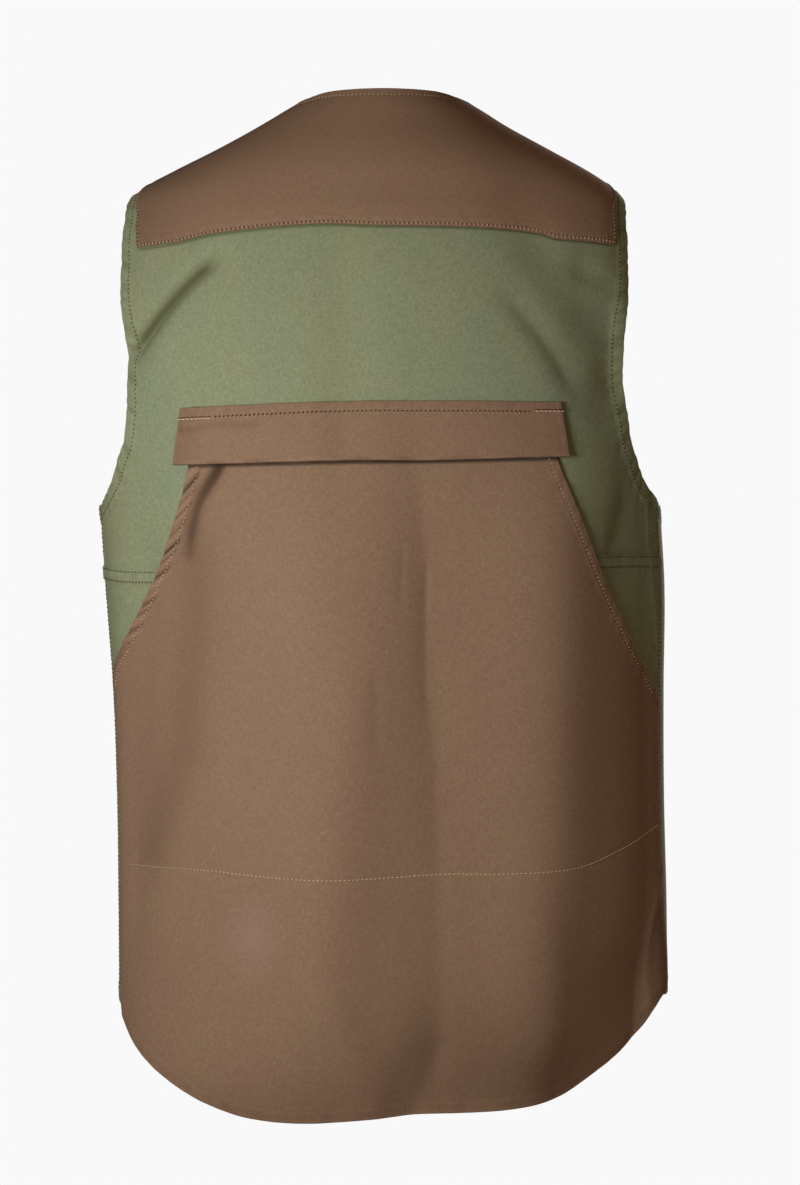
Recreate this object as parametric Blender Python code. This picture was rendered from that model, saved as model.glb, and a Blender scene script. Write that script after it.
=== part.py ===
"""A canvas gilet in its worn form, open at the neck, hem and armholes, with nobody in it.

Metres, +Z up. The garment's back faces -Y and the wearer's right is at +X. The origin lies between
the two neck sides of the shoulders, where the wearer carries it. Every cloth piece lies on one form,
whose level sections are round-cornered ovals, and is cut on it by angle and height. An angle runs
round the body from 0 at the middle of the back to 90 at the wearer's right side and -90 at the left.
"""

import math
from collections import namedtuple

import bmesh
import bpy
import numpy as np

# Sizes in millimetres and angles in degrees, unless a name says otherwise
METRES = 0.001

CLOTH = 1.5  # wall of one canvas piece with its turnings
SEAM_TRIM = 0.2  # taken off each edge, so that two pieces stand 0.4 apart at a seam
LAY_ON = 2.1  # inner face of a piece laid on the back, over the back's own inner face
FLAP_LIFT = 4.3  # inner face of the flap at its sewn top, over the pocket
FLAP_STAND = 5.6  # inner face of the flap at its free lower edge
LAP_LIFT = 2.2  # inner face of the left front where it laps over the right
ARMHOLE_STRIP = 0.022  # share of the back's width that shows beside the yoke

LEFT_SEAM = -85.0  # the side seams' angles
RIGHT_SEAM = 82.0
UNDERARM = -303.0
BACK_SEAM = -346.0  # height of the level felled seam
LAP = 17.0  # each front's reach past the centre
LAP_CLEAR = 38.0  # the left front is fully risen this far before the centre
LAP_RAMP = 18.0  # and rises over this width
FRONT_FROM = 135.0  # only the cloth past this angle is risen
V_BOTTOM = -232.0
V_BEND = 1.5  # how hollow the V's sides run: 1 is straight
FRONT_HEM = -668.0
SHOULDER_TIP = (113.0, -77.0)  # where the forward shoulder seam meets the armhole
NECK_SIDE = (120.0, -7.0)  # where it meets the neck
NECK_SIDE_X = 68.0

# The body of the garment, by level sections. Each depth is from the middle of the side.
Section = namedtuple("Section", "z half_width back_depth front_depth centre_x roundness")
SECTIONS = [
    Section(-780, 202.5, 119, 116, 6.5, 2.30),
    Section(-680, 202.5, 120, 118, 6.5, 2.30),
    Section(-600, 202.5, 121, 120, 6, 2.30),
    Section(-520, 202, 122, 122, 4.5, 2.30),
    Section(-440, 204, 123, 124, 2.5, 2.30),
    Section(-360, 208, 124, 125, -0.5, 2.30),
    Section(-300, 209, 125, 125, -3.5, 2.28),
    Section(-240, 210, 125, 124, -6, 2.26),
    Section(-180, 208.5, 121, 120, -7.5, 2.22),
    Section(-130, 203.5, 115, 112, -7.5, 2.18),
    Section(-92, 196, 105, 102, -7, 2.12),
    Section(-72, 185.5, 95, 93, -6, 2.08),
    Section(-54, 156, 87, 85, -3, 2.04),
    Section(-36, 122, 78, 77, -1.5, 2.0),
    Section(-18, 89.5, 68, 69, -1.5, 2.0),
    Section(-8, 73.5, 63, 65, -1, 2.0),
    Section(-2, 64.5, 60, 63, -1, 2.0),
    Section(6, 56.5, 57, 61, -1, 2.0),
    Section(20, 50, 53, 60, -1, 2.0),
]

# One row for each large fold: where it starts and ends, how far its middle bows towards +X, how far
# it rises, or sinks if negative, and its half width. Each x and z is the garment's, front and back.
Fold = namedtuple("Fold", "side x0 z0 x1 z1 bow rise half_width")
FOLDS = [
    Fold("back", -122, -122, -186, -204, -4, -6.0, 15),
    Fold("back", -100, -112, -160, -196, 0, 3.5, 18),
    Fold("back", 80, -100, 168, -214, 6, -4.5, 16),
    Fold("back", 88, -150, 134, -232, 3, -3.5, 13),
    Fold("back", 150, -118, 152, -164, 0, -3.0, 12),
    Fold("back", 180, -262, 160, -346, 0, -3.5, 15),
    Fold("back", -40, -130, -52, -300, 4, 2.5, 26),
    Fold("back", 30, -126, 24, -300, 0, 2.5, 26),
    Fold("back", 16, -280, 28, -560, 14, 3.5, 20),
    Fold("back", -6, -390, -4, -590, 0, -3.0, 17),
    Fold("back", -138, -470, -160, -600, 0, -3.0, 20),
    Fold("back", 147, -262, 146, -392, 0, 2.5, 16),
    Fold("back", 33, -600, 38, -752, 0, 4.0, 18),
    Fold("back", -42, -672, -6, -756, 0, 3.0, 16),
    Fold("back", 118, -600, 132, -730, 6, -3.0, 20),
    Fold("front", -128, -130, -60, -290, -8, -5.0, 18),
    Fold("front", 126, -130, 64, -280, 8, -5.0, 18),
    Fold("front", -158, -300, -120, -420, 0, -4.0, 18),
    Fold("front", 156, -300, 124, -400, 0, -4.0, 18),
    Fold("front", -92, -430, -104, -668, 6, 4.0, 24),
    Fold("front", 98, -410, 108, -668, -6, 4.5, 24),
    Fold("front", -46, -520, -50, -668, 0, -3.0, 18),
]

FOLD_CORE = 0.32  # a fold has its full rise over this share of its length, each way from its middle
FOLD_FADE = 0.14  # past that it fades over this share
SIDE_FADE = 0.35  # folds fade towards the sides where the cosine of the angle is under this

# The right armhole, from the side seam up the back, over the shoulder and down the front. The left
# one mirrors it.
ArmholePoint = namedtuple("ArmholePoint", "angle z")
BACK_ARMHOLE = [
    ArmholePoint(75, -297),
    ArmholePoint(66.8, -284),
    ArmholePoint(62.7, -269),
    ArmholePoint(58.6, -252),
    ArmholePoint(57, -218),
    ArmholePoint(59.2, -181),
    ArmholePoint(62.4, -150),
    ArmholePoint(66.2, -111),
    ArmholePoint(70.5, -89),
    ArmholePoint(79, -72),
    ArmholePoint(90, -65),
    ArmholePoint(102, -67),
    ArmholePoint(*SHOULDER_TIP),
]
YOKE_CORNER = 7  # the row of BACK_ARMHOLE where the yoke's lower edge meets it
FRONT_ARMHOLE = [
    ArmholePoint(95, -304.5),
    ArmholePoint(107, -299),
    ArmholePoint(117, -283),
    ArmholePoint(124.5, -256),
    ArmholePoint(129, -225),
    ArmholePoint(130.5, -190),
    ArmholePoint(129.5, -150),
    ArmholePoint(126.5, -118),
    ArmholePoint(121.5, -93),
    ArmholePoint(*SHOULDER_TIP),
]
CHEST_CORNER = 3  # the row of FRONT_ARMHOLE from which the chest line runs to the foot of the V

EdgePoint = namedtuple("EdgePoint", "angle z")
NECK_EDGE = [
    EdgePoint(*NECK_SIDE),
    EdgePoint(90, -2.5),
    EdgePoint(64, 0.4),
    EdgePoint(44, 3.7),
    EdgePoint(22, 4.8),
    EdgePoint(0, 5.2),
]
YOKE_EDGE = [
    EdgePoint(-38.7, -109),
    EdgePoint(-24.7, -101.5),
    EdgePoint(-11, -99),
    EdgePoint(10, -99),
    EdgePoint(31.5, -103.5),
]
HEM = [
    EdgePoint(LEFT_SEAM, -670),
    EdgePoint(-73.7, -688.6),
    EdgePoint(-62, -707.5),
    EdgePoint(-49.8, -726),
    EdgePoint(-41, -739),
    EdgePoint(-30.4, -749),
    EdgePoint(-17.8, -753),
    EdgePoint(-2.6, -747),
    EdgePoint(6.5, -744),
    EdgePoint(24.9, -741.5),
    EdgePoint(38.4, -729),
    EdgePoint(56.9, -693.5),
    EdgePoint(66, -680.5),
    EdgePoint(RIGHT_SEAM, -665),
]

# The game pocket's two open edges, by their distances from the garment's middle line
PocketPoint = namedtuple("PocketPoint", "left_x right_x z")
POCKET_EDGES = [
    PocketPoint(-140, 117, -232),
    PocketPoint(-140.5, 119, -250),
    PocketPoint(-142, 125, -276),
    PocketPoint(-152.5, 143, -320),
    PocketPoint(-167, 160, -357.5),
    PocketPoint(-188.5, 181, -397.5),
    PocketPoint(-200, 197, -427),
    PocketPoint(-203, 203.5, -440),
]
POCKET_MOUTH_FOOT = -452.0  # where the open edges reach the side seams
POCKET_MARGIN = 5.0  # cloth kept over the pocket's top edge before it is cut to shape
OUTSIDE = 260.0  # clear of the garment's side
BELOW = -1000.0  # clear of its hem
BEHIND = 200.0  # clear of its back

# The flap's four corners and its middle, by distance from the middle line and height
FLAP_LEFT, FLAP_RIGHT = -149.5, 129.5
FLAP_LEFT_FOOT, FLAP_RIGHT_FOOT = -154.5, 134.5
FLAP_TOP_LEFT, FLAP_TOP_MIDDLE, FLAP_TOP_RIGHT = -233.0, -228.5, -228.5
FLAP_FOOT_LEFT, FLAP_FOOT_MIDDLE, FLAP_FOOT_RIGHT = -272.5, -272.0, -267.0
FLAP_STAND_LIMIT = 1.5  # the slope of the flap runs on this far past its foot, in flap heights

BUTTON_RADIUS = 7.5
BUTTON_HEIGHT = 2.6
BUTTON_HOLE_RADIUS = 0.8
BUTTON_HOLE_OFFSET = 1.9
BUTTON_SINK = 0.7  # depth of the dish in its face
BUTTON_RIM = 5.2  # radius of the dish
BUTTON_ROUNDING = 0.6
BUTTON_SIDES = 16
BUTTON_HOLE_SIDES = 6
BUTTON_HEIGHTS = (-256, -348, -440, -532, -624)
BUTTON_OFF_CLOTH = 0.35

# How many strips and rows each piece is divided into
CURVE_STEPS = 16  # between two points of a table
OUTLINE_STEPS = 8  # between two points of a laid-on piece's outline
EDGE_SAMPLES = 24  # along a front's free edges
BACK_STRIPS = 32
YOKE_ROWS = 7
BACK_ROWS = 13
LOWER_ROWS = 18
UNDERARM_ROWS = 3
FRONT_STRIPS = 16
ARMHOLE_STRIPS = 6  # of a front's strips, those that end at the foot of the armhole
FRONT_LOWER_ROWS = 17
FRONT_UPPER_ROWS = 12
YOKE_SIDE = 0.08  # share of the shoulder seam that shows beside the yoke


def clear_scene():
    for old in list(bpy.data.objects):
        bpy.data.objects.remove(old, do_unlink=True)


def finish_of(name, colour, roughness):
    finish = bpy.data.materials.new(name)
    finish.use_nodes = True
    shader = finish.node_tree.nodes["Principled BSDF"]
    shader.inputs["Base Color"].default_value = (*colour, 1.0)
    shader.inputs["Roughness"].default_value = roughness
    shader.inputs["Metallic"].default_value = 0.0
    return finish


def eased(rows, heights, z):
    """A smooth curve through one column of a table, read at z."""
    values = np.array(rows, float)
    heights = np.array(heights, float)
    slopes = np.gradient(values, heights)
    below = np.clip(np.searchsorted(heights, z) - 1, 0, len(heights) - 2)
    span = heights[below + 1] - heights[below]
    t = np.clip((z - heights[below]) / span, 0.0, 1.0)
    rising = t * t * (3.0 - 2.0 * t)
    return (
        values[below] * (1.0 - rising)
        + values[below + 1] * rising
        + span * slopes[below] * t * (1.0 - t) ** 2
        - span * slopes[below + 1] * t * t * (1.0 - t)
    )


def section(z, column):
    return eased([getattr(row, column) for row in SECTIONS], [row.z for row in SECTIONS], z)


def folding(side, x, z):
    """How far the folds of one side move the cloth out at x and z."""
    moved = np.zeros_like(x)
    for fold in FOLDS:
        if fold.side != side:
            continue
        along = np.array([fold.x1 - fold.x0, fold.z1 - fold.z0], float)
        length = np.hypot(*along)
        along /= length
        t = ((x - fold.x0) * along[0] + (z - fold.z0) * along[1]) / length
        across = (x - fold.x0) * -along[1] + (z - fold.z0) * along[0]
        inside = np.clip(t, 0.0, 1.0)
        across = across - fold.bow * 4.0 * inside * (1.0 - inside) * math.copysign(1.0, -along[1])
        past = np.maximum(np.abs(t - 0.5) - FOLD_CORE, 0.0) * length
        fade = np.exp(-((past / (FOLD_FADE * length + fold.half_width)) ** 2))
        moved += fold.rise * fade * np.exp(-((across / fold.half_width) ** 2))
    return moved


def on_form(angle, z):
    """Points of the cloth's inner face, in millimetres, for arrays of angles in degrees and heights."""
    angle, z = np.broadcast_arrays(np.asarray(angle, float), np.asarray(z, float))
    sine, cosine = np.sin(np.radians(angle)), np.cos(np.radians(angle))
    power = section(z, "roundness")
    reach = (np.abs(sine) ** power + np.abs(cosine) ** power) ** (-1.0 / power)
    width = section(z, "half_width")
    depth = np.where(cosine > 0.0, section(z, "back_depth"), section(z, "front_depth"))
    x = width * reach * sine
    y = -depth * reach * cosine
    centre = section(z, "centre_x")
    towards_side = np.clip(np.abs(cosine) / SIDE_FADE, 0.0, 1.0)
    fade = towards_side**2 * (3.0 - 2.0 * towards_side)
    folds = np.where(cosine > 0.0, folding("back", x + centre, z), folding("front", x + centre, z))
    out_x, out_y = sine * depth, -cosine * width
    size = np.hypot(out_x, out_y)
    return np.stack(
        [centre + x + folds * fade * out_x / size, y + folds * fade * out_y / size, z], axis=-1
    )


def moved_out(grid, lift):
    """Points lift millimetres outside the inner face at each angle and height of the grid."""
    angle, z = grid[..., 0], grid[..., 1]
    turn, rise = 0.4, 0.8
    along = on_form(angle + turn, z) - on_form(angle - turn, z)
    up = on_form(angle, z + rise) - on_form(angle, z - rise)
    outward = np.cross(along, up)
    outward /= np.linalg.norm(outward, axis=-1, keepdims=True)
    return on_form(angle, z) + outward * np.asarray(lift, float)[..., None]


def angle_at(x, z):
    """The back's angle at distance x from the middle line. The front's is 180 less this."""
    nearly_side = 0.9999
    share = np.abs(x - section(z, "centre_x")) / section(z, "half_width")
    share = np.clip(share, 0.0, nearly_side)
    power = section(z, "roundness")
    tangent = (share**power / (1.0 - share**power)) ** (1.0 / power)
    return np.degrees(np.arctan(tangent)) * np.sign(x - section(z, "centre_x"))


def curve_through(points, steps=CURVE_STEPS):
    """A dense smooth curve, in angle and height, through the given points."""
    knots = np.array([tuple(point) for point in points], float)
    knots = np.vstack([2 * knots[0] - knots[1], knots, 2 * knots[-1] - knots[-2]])
    pieces = []
    for before, start, end, after in zip(knots, knots[1:], knots[2:], knots[3:]):
        t = np.linspace(0.0, 1.0, steps, endpoint=False)[:, None]
        pieces.append(
            0.5
            * (
                2.0 * start
                + (end - before) * t
                + (2.0 * before - 5.0 * start + 4.0 * end - after) * t**2
                + (3.0 * start - before - 3.0 * end + after) * t**3
            )
        )
    pieces.append(knots[-2][None, :])
    return np.vstack(pieces)


def spaced(curve, shares):
    """Points of a dense curve at these shares of its real length."""
    points = on_form(curve[:, 0], curve[:, 1])
    travelled = np.concatenate([[0.0], np.cumsum(np.linalg.norm(np.diff(points, axis=0), axis=1))])
    travelled /= travelled[-1]
    return np.stack([np.interp(shares, travelled, curve[:, axis]) for axis in (0, 1)], axis=-1)


def by_angle(curve, shares):
    """Points of a dense curve at these shares of the angle it spans."""
    share = (curve[:, 0] - curve[0, 0]) / (curve[-1, 0] - curve[0, 0])
    return np.stack([np.interp(shares, share, curve[:, axis]) for axis in (0, 1)], axis=-1)


def even(count):
    return np.linspace(0.0, 1.0, count + 1)


def strips_with_edges(count):
    """Shares across the back: a narrow strip at each armhole and even ones between."""
    return np.concatenate([[0.0], np.linspace(ARMHOLE_STRIP, 1.0 - ARMHOLE_STRIP, count - 1), [1.0]])


def filled(foot, top, left, right):
    """A grid of angles and heights between four edges that meet at their ends."""
    across = even(len(foot) - 1)[None, :, None]
    if len(foot) == BACK_STRIPS + 1:
        across = strips_with_edges(BACK_STRIPS)[None, :, None]
    up = even(len(left) - 1)[:, None, None]
    ruled = (1.0 - up) * foot[None] + up * top[None]
    sided = (1.0 - across) * left[:, None] + across * right[:, None]
    corners = (1.0 - up) * ((1.0 - across) * foot[0] + across * foot[-1])
    corners = corners + up * ((1.0 - across) * top[0] + across * top[-1])
    return ruled + sided - corners


def mirrored(curve):
    return curve * np.array([-1.0, 1.0])


def drawn_in(grid, *edges, trim=SEAM_TRIM):
    """The grid with these edges drawn in a little, so that a seam keeps its two pieces apart."""
    cut = grid.copy()
    for edge in edges:
        rows = cut if edge in ("foot", "top") else cut.transpose(1, 0, 2)
        outer, inner = (0, 1) if edge in ("foot", "left") else (-1, -2)
        gap = np.linalg.norm(
            on_form(rows[inner, :, 0], rows[inner, :, 1]) - on_form(rows[outer, :, 0], rows[outer, :, 1]),
            axis=1,
        )
        rows[outer] += (rows[inner] - rows[outer]) * (trim / gap)[:, None]
    return cut


def cloth(name, grid, lift, finish):
    """One cloth piece: a wall on the form, its inner face lift millimetres out from the form.

    Where a grid holds no numbers, the piece has no cloth.
    """
    points = moved_out(grid, np.broadcast_to(lift, grid.shape[:2])) * METRES
    used = ~np.isnan(points[..., 0])
    number = np.cumsum(used).reshape(used.shape) - 1
    faces = []
    for row in range(grid.shape[0] - 1):
        for column in range(grid.shape[1] - 1):
            if used[row : row + 2, column : column + 2].all():
                corners = [(row, column), (row, column + 1), (row + 1, column + 1), (row + 1, column)]
                faces.append([int(number[corner]) for corner in corners])
    mesh = bpy.data.meshes.new(name)
    mesh.from_pydata(points[used].tolist(), [], faces)
    mesh.materials.append(finish)
    mesh.shade_smooth()
    piece = bpy.data.objects.new(name, mesh)
    bpy.context.scene.collection.objects.link(piece)
    wall = piece.modifiers.new("Wall", "SOLIDIFY")
    wall.thickness = CLOTH * METRES
    wall.offset = 1.0
    wall.use_even_offset = True
    return piece


def forward_seam():
    """The right shoulder seam, from the armhole to the neck, a little forward of the ridge."""
    return curve_through([EdgePoint(*SHOULDER_TIP), EdgePoint(*NECK_SIDE)])


def back_armhole_parts():
    """The right armhole of the back in two dense curves, below and above the yoke's corner."""
    start = EdgePoint(RIGHT_SEAM, UNDERARM)
    whole = curve_through([start, *BACK_ARMHOLE])
    corner = (YOKE_CORNER + 1) * CURVE_STEPS
    return whole[: corner + 1], whole[corner:]


def seam_edge(angle, low, high):
    return np.array([[angle, low], [angle, high]], float)


def back_side(angle, armhole):
    """The edge of the upper back from the felled seam to the yoke: side seam, then armhole."""
    seam = spaced(seam_edge(angle, BACK_SEAM, UNDERARM), even(UNDERARM_ROWS))
    return np.vstack([seam, spaced(armhole, even(BACK_ROWS - UNDERARM_ROWS))[1:]])


def back_grids():
    """The whole back in three grids: hem to felled seam, on to the yoke's edge, on over the shoulders."""
    below, above = back_armhole_parts()
    strips = strips_with_edges(BACK_STRIPS)
    hem = by_angle(curve_through(HEM), strips)
    seam = by_angle(np.array([[LEFT_SEAM, BACK_SEAM], [RIGHT_SEAM, BACK_SEAM]]), strips)
    corner = below[-1]
    yoke_line = by_angle(curve_through([mirrored(corner), *YOKE_EDGE, corner]), strips)
    left_below = mirrored(below)
    left_below[0, 0] = LEFT_SEAM
    lower = filled(
        hem,
        seam,
        spaced(seam_edge(LEFT_SEAM, hem[0, 1], BACK_SEAM), even(LOWER_ROWS)),
        spaced(seam_edge(RIGHT_SEAM, hem[-1, 1], BACK_SEAM), even(LOWER_ROWS)),
    )
    middle = filled(
        seam,
        yoke_line,
        back_side(LEFT_SEAM, left_below),
        back_side(RIGHT_SEAM, below),
    )
    quarter = BACK_STRIPS // 4
    seam_shares = np.concatenate([[0.0], np.linspace(YOKE_SIDE, 1.0, quarter)])
    neck = spaced(curve_through(NECK_EDGE), even(quarter))
    right_half = np.vstack([spaced(forward_seam(), seam_shares), neck[1:]])
    top = np.vstack([mirrored(right_half), right_half[::-1][1:]])
    upper = filled(
        yoke_line, top, spaced(mirrored(above), even(YOKE_ROWS)), spaced(above, even(YOKE_ROWS))
    )
    return lower, middle, upper


def prism(name, outline):
    """A guide that cuts a laid-on piece to its outline, given by x and z, seen from behind."""
    body = bmesh.new()
    near = [body.verts.new((x * METRES, -BEHIND * METRES, z * METRES)) for x, z in outline]
    face = body.faces.new(near)
    pushed = bmesh.ops.extrude_face_region(body, geom=[face])
    far = [vertex for vertex in pushed["geom"] if isinstance(vertex, bmesh.types.BMVert)]
    bmesh.ops.translate(body, verts=far, vec=(0.0, BEHIND * METRES, 0.0))
    bmesh.ops.recalc_face_normals(body, faces=body.faces)
    mesh = bpy.data.meshes.new(name)
    body.to_mesh(mesh)
    body.free()
    guide = bpy.data.objects.new(name, mesh)
    bpy.context.scene.collection.objects.link(guide)
    guide.hide_render = True
    guide.display_type = "WIRE"
    return guide


def laid_on(name, grid, lift, outline, finish):
    """A piece made from the back's own points, moved out and cut to its outline."""
    piece = cloth(name, grid, lift, finish)
    cut = piece.modifiers.new("Cut to shape", "BOOLEAN")
    cut.operation = "INTERSECT"
    cut.object = prism(name + "_pattern", outline)
    return piece


def through(points):
    """A dense smooth line through points given by x and z."""
    return [tuple(point) for point in curve_through(points, OUTLINE_STEPS)]


def game_pocket(brown, lower, middle):
    left = through([(row.left_x, row.z) for row in POCKET_EDGES])
    right = through([(row.right_x, row.z) for row in POCKET_EDGES])
    outline = [
        *left,
        (-OUTSIDE, POCKET_MOUTH_FOOT),
        (-OUTSIDE, BELOW),
        (OUTSIDE, BELOW),
        (OUTSIDE, POCKET_MOUTH_FOOT),
        *reversed(right),
    ]
    grid = np.vstack([lower, middle[1:]])
    top_row = int(np.argmax(grid[:, :, 1].min(axis=1) > POCKET_EDGES[0].z + POCKET_MARGIN))
    laid_on("game_pocket", grid[: top_row + 1], LAY_ON, outline, brown)


def pocket_flap(brown, middle):
    centre = 0.5 * (FLAP_LEFT + FLAP_RIGHT)
    top = through([(FLAP_LEFT, FLAP_TOP_LEFT), (centre, FLAP_TOP_MIDDLE), (FLAP_RIGHT, FLAP_TOP_RIGHT)])
    foot = through(
        [
            (FLAP_LEFT_FOOT, FLAP_FOOT_LEFT),
            (centre, FLAP_FOOT_MIDDLE),
            (FLAP_RIGHT_FOOT, FLAP_FOOT_RIGHT),
        ]
    )
    height = FLAP_TOP_MIDDLE - FLAP_FOOT_MIDDLE
    hang = np.clip((FLAP_TOP_MIDDLE - middle[1:-1, :, 1]) / height, 0.0, FLAP_STAND_LIMIT)
    lift = FLAP_LIFT + (FLAP_STAND - FLAP_LIFT) * hang
    laid_on("pocket_flap", middle[1:-1], lift, top + foot[::-1], brown)


def front_angle(x, z):
    """The front's angle at distance x to the wearer's right of the lap's middle, over 180 past it."""
    return 180.0 - float(angle_at(x + section(z, "centre_x"), z))


def v_neck():
    """The free edge of a front from the foot of the V to the neck side."""
    edge = []
    for share in np.linspace(1.0, 0.0, EDGE_SAMPLES):
        x = NECK_SIDE_X - (NECK_SIDE_X + LAP) * share**V_BEND
        z = NECK_SIDE[1] + (V_BOTTOM - NECK_SIDE[1]) * share
        edge.append((front_angle(x, z), z))
    edge[-1] = NECK_SIDE
    return np.array(edge)


def front_grid(seam_angle):
    """The right front in two grids made one: hem to chest line, and on up beside the armhole."""
    armhole = curve_through([(seam_angle, UNDERARM), *FRONT_ARMHOLE])
    corner = (CHEST_CORNER + 1) * CURVE_STEPS
    under_arm, beside_arm = armhole[: corner + 1], armhole[corner:]
    neck = v_neck()
    chest = np.array([armhole[corner], neck[0]])
    heights = np.linspace(FRONT_HEM, V_BOTTOM, EDGE_SAMPLES)
    lap = np.array([(front_angle(-LAP, z), z) for z in heights])
    hem = np.array([[seam_angle, FRONT_HEM], lap[0]])
    chest_line = spaced(chest, even(FRONT_STRIPS - ARMHOLE_STRIPS))
    lower = filled(
        spaced(hem, even(FRONT_STRIPS)),
        np.vstack([spaced(under_arm, even(ARMHOLE_STRIPS)), chest_line[1:]]),
        spaced(seam_edge(seam_angle, FRONT_HEM, UNDERARM), even(FRONT_LOWER_ROWS)),
        spaced(lap, even(FRONT_LOWER_ROWS)),
    )
    upper = filled(
        chest_line,
        spaced(forward_seam(), even(FRONT_STRIPS - ARMHOLE_STRIPS)),
        spaced(beside_arm, even(FRONT_UPPER_ROWS)),
        spaced(neck, even(FRONT_UPPER_ROWS)),
    )
    lower = drawn_in(lower, "left")
    upper = drawn_in(upper, "top")
    whole = np.full((len(lower) + len(upper) - 1, FRONT_STRIPS + 1, 2), np.nan)
    whole[: len(lower)] = lower
    whole[len(lower) :, ARMHOLE_STRIPS:] = upper[1:]
    return whole


def front_right(green):
    cloth("front_right", front_grid(RIGHT_SEAM), 0.0, green)


def front_left(green):
    """The left front mirrors the right one, and rises near the middle to lap over it."""
    grid = front_grid(-LEFT_SEAM)[:, ::-1] * np.array([-1.0, 1.0])
    x = on_form(grid[..., 0], grid[..., 1])[..., 0] - section(grid[..., 1], "centre_x")
    share = np.clip(x / LAP_RAMP + 1.0 + LAP_CLEAR / LAP_RAMP, 0.0, 1.0)
    share = np.where(grid[..., 0] < -FRONT_FROM, share, 0.0)
    cloth("front_left", grid, LAP_LIFT * share**2 * (3.0 - 2.0 * share), green)


def button(number, z, finish):
    """A four-hole button on the left front's lap, standing on the cloth with its dish outwards."""
    body = bmesh.new()
    half = 0.5 * BUTTON_HEIGHT
    profile = [
        (0.0, half - BUTTON_SINK),
        (BUTTON_RIM - BUTTON_ROUNDING, half - BUTTON_SINK),
        (BUTTON_RIM, half),
        (BUTTON_RADIUS - BUTTON_ROUNDING, half),
        (BUTTON_RADIUS, half - BUTTON_ROUNDING),
        (BUTTON_RADIUS, BUTTON_ROUNDING - half),
        (BUTTON_RADIUS - BUTTON_ROUNDING, -half),
        (0.0, -half),
    ]
    points = [body.verts.new((radius * METRES, 0.0, height * METRES)) for radius, height in profile]
    edges = [body.edges.new(pair) for pair in zip(points, points[1:])]
    bmesh.ops.spin(
        body,
        geom=points + edges,
        cent=(0, 0, 0),
        axis=(0, 0, 1),
        angle=math.tau,
        steps=BUTTON_SIDES,
        use_merge=True,
    )
    bmesh.ops.remove_doubles(body, verts=body.verts, dist=1e-6)
    bmesh.ops.recalc_face_normals(body, faces=body.faces)
    mesh = bpy.data.meshes.new(f"button_{number}")
    body.to_mesh(mesh)
    body.free()
    mesh.materials.append(finish)
    piece = bpy.data.objects.new(f"button_{number}", mesh)
    bpy.context.scene.collection.objects.link(piece)
    place = np.array([[180.0, float(z)]])
    lift = LAP_LIFT + CLOTH + BUTTON_OFF_CLOTH + half
    middle = moved_out(place, np.array([lift]))[0]
    piece.location = middle * METRES
    piece.rotation_euler = (math.radians(-90.0), 0.0, 0.0)
    cutter = holes()
    cut = piece.modifiers.new("Thread holes", "BOOLEAN")
    cut.object = cutter
    cutter.parent = piece
    return piece


def holes():
    """Four small cylinders that cut a button's thread holes."""
    body = bmesh.new()
    for corner in range(4):
        turn = math.tau * (corner + 0.5) / 4.0
        made = bmesh.ops.create_cone(
            body,
            cap_ends=True,
            segments=BUTTON_HOLE_SIDES,
            radius1=BUTTON_HOLE_RADIUS * METRES,
            radius2=BUTTON_HOLE_RADIUS * METRES,
            depth=3.0 * BUTTON_HEIGHT * METRES,
        )
        offset = BUTTON_HOLE_OFFSET * math.sqrt(2.0) * METRES
        bmesh.ops.translate(
            body, verts=made["verts"], vec=(math.cos(turn) * offset, math.sin(turn) * offset, 0.0)
        )
    mesh = bpy.data.meshes.new("thread_holes")
    body.to_mesh(mesh)
    body.free()
    cutter = bpy.data.objects.new("thread_holes", mesh)
    bpy.context.scene.collection.objects.link(cutter)
    cutter.hide_render = True
    cutter.display_type = "WIRE"
    return cutter


def build():
    clear_scene()
    green = finish_of("green canvas", (0.25, 0.30, 0.15), 0.85)
    brown = finish_of("brown canvas", (0.26, 0.16, 0.10), 0.85)
    horn = finish_of("dark brown horn", (0.06, 0.035, 0.02), 0.4)
    lower, middle, upper = back_grids()
    cloth("back_lower", drawn_in(lower, "left", "right", "top"), 0.0, green)
    whole_upper = np.vstack([middle, upper[1:]])
    cloth("back_upper", drawn_in(whole_upper, "left", "right", "foot", "top"), 0.0, green)
    cloth("yoke", drawn_in(upper, "left", "right", "top")[:, 1:-1], LAY_ON, brown)
    game_pocket(brown, lower, middle)
    pocket_flap(brown, middle)
    front_right(green)
    front_left(green)
    for number, z in enumerate(BUTTON_HEIGHTS, 1):
        button(number, z, horn)


build()
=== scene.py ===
"""The looks of a canvas gilet, seen from behind: sewn cloth shells on the fixed frame, with its light.

Lengths are in millimetres and angles in degrees, unless a name says otherwise. An angle runs round the
body from 0 at the middle of the back to 90 at the wearer's right side and -90 at the left.
"""

import math
from collections import namedtuple

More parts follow.
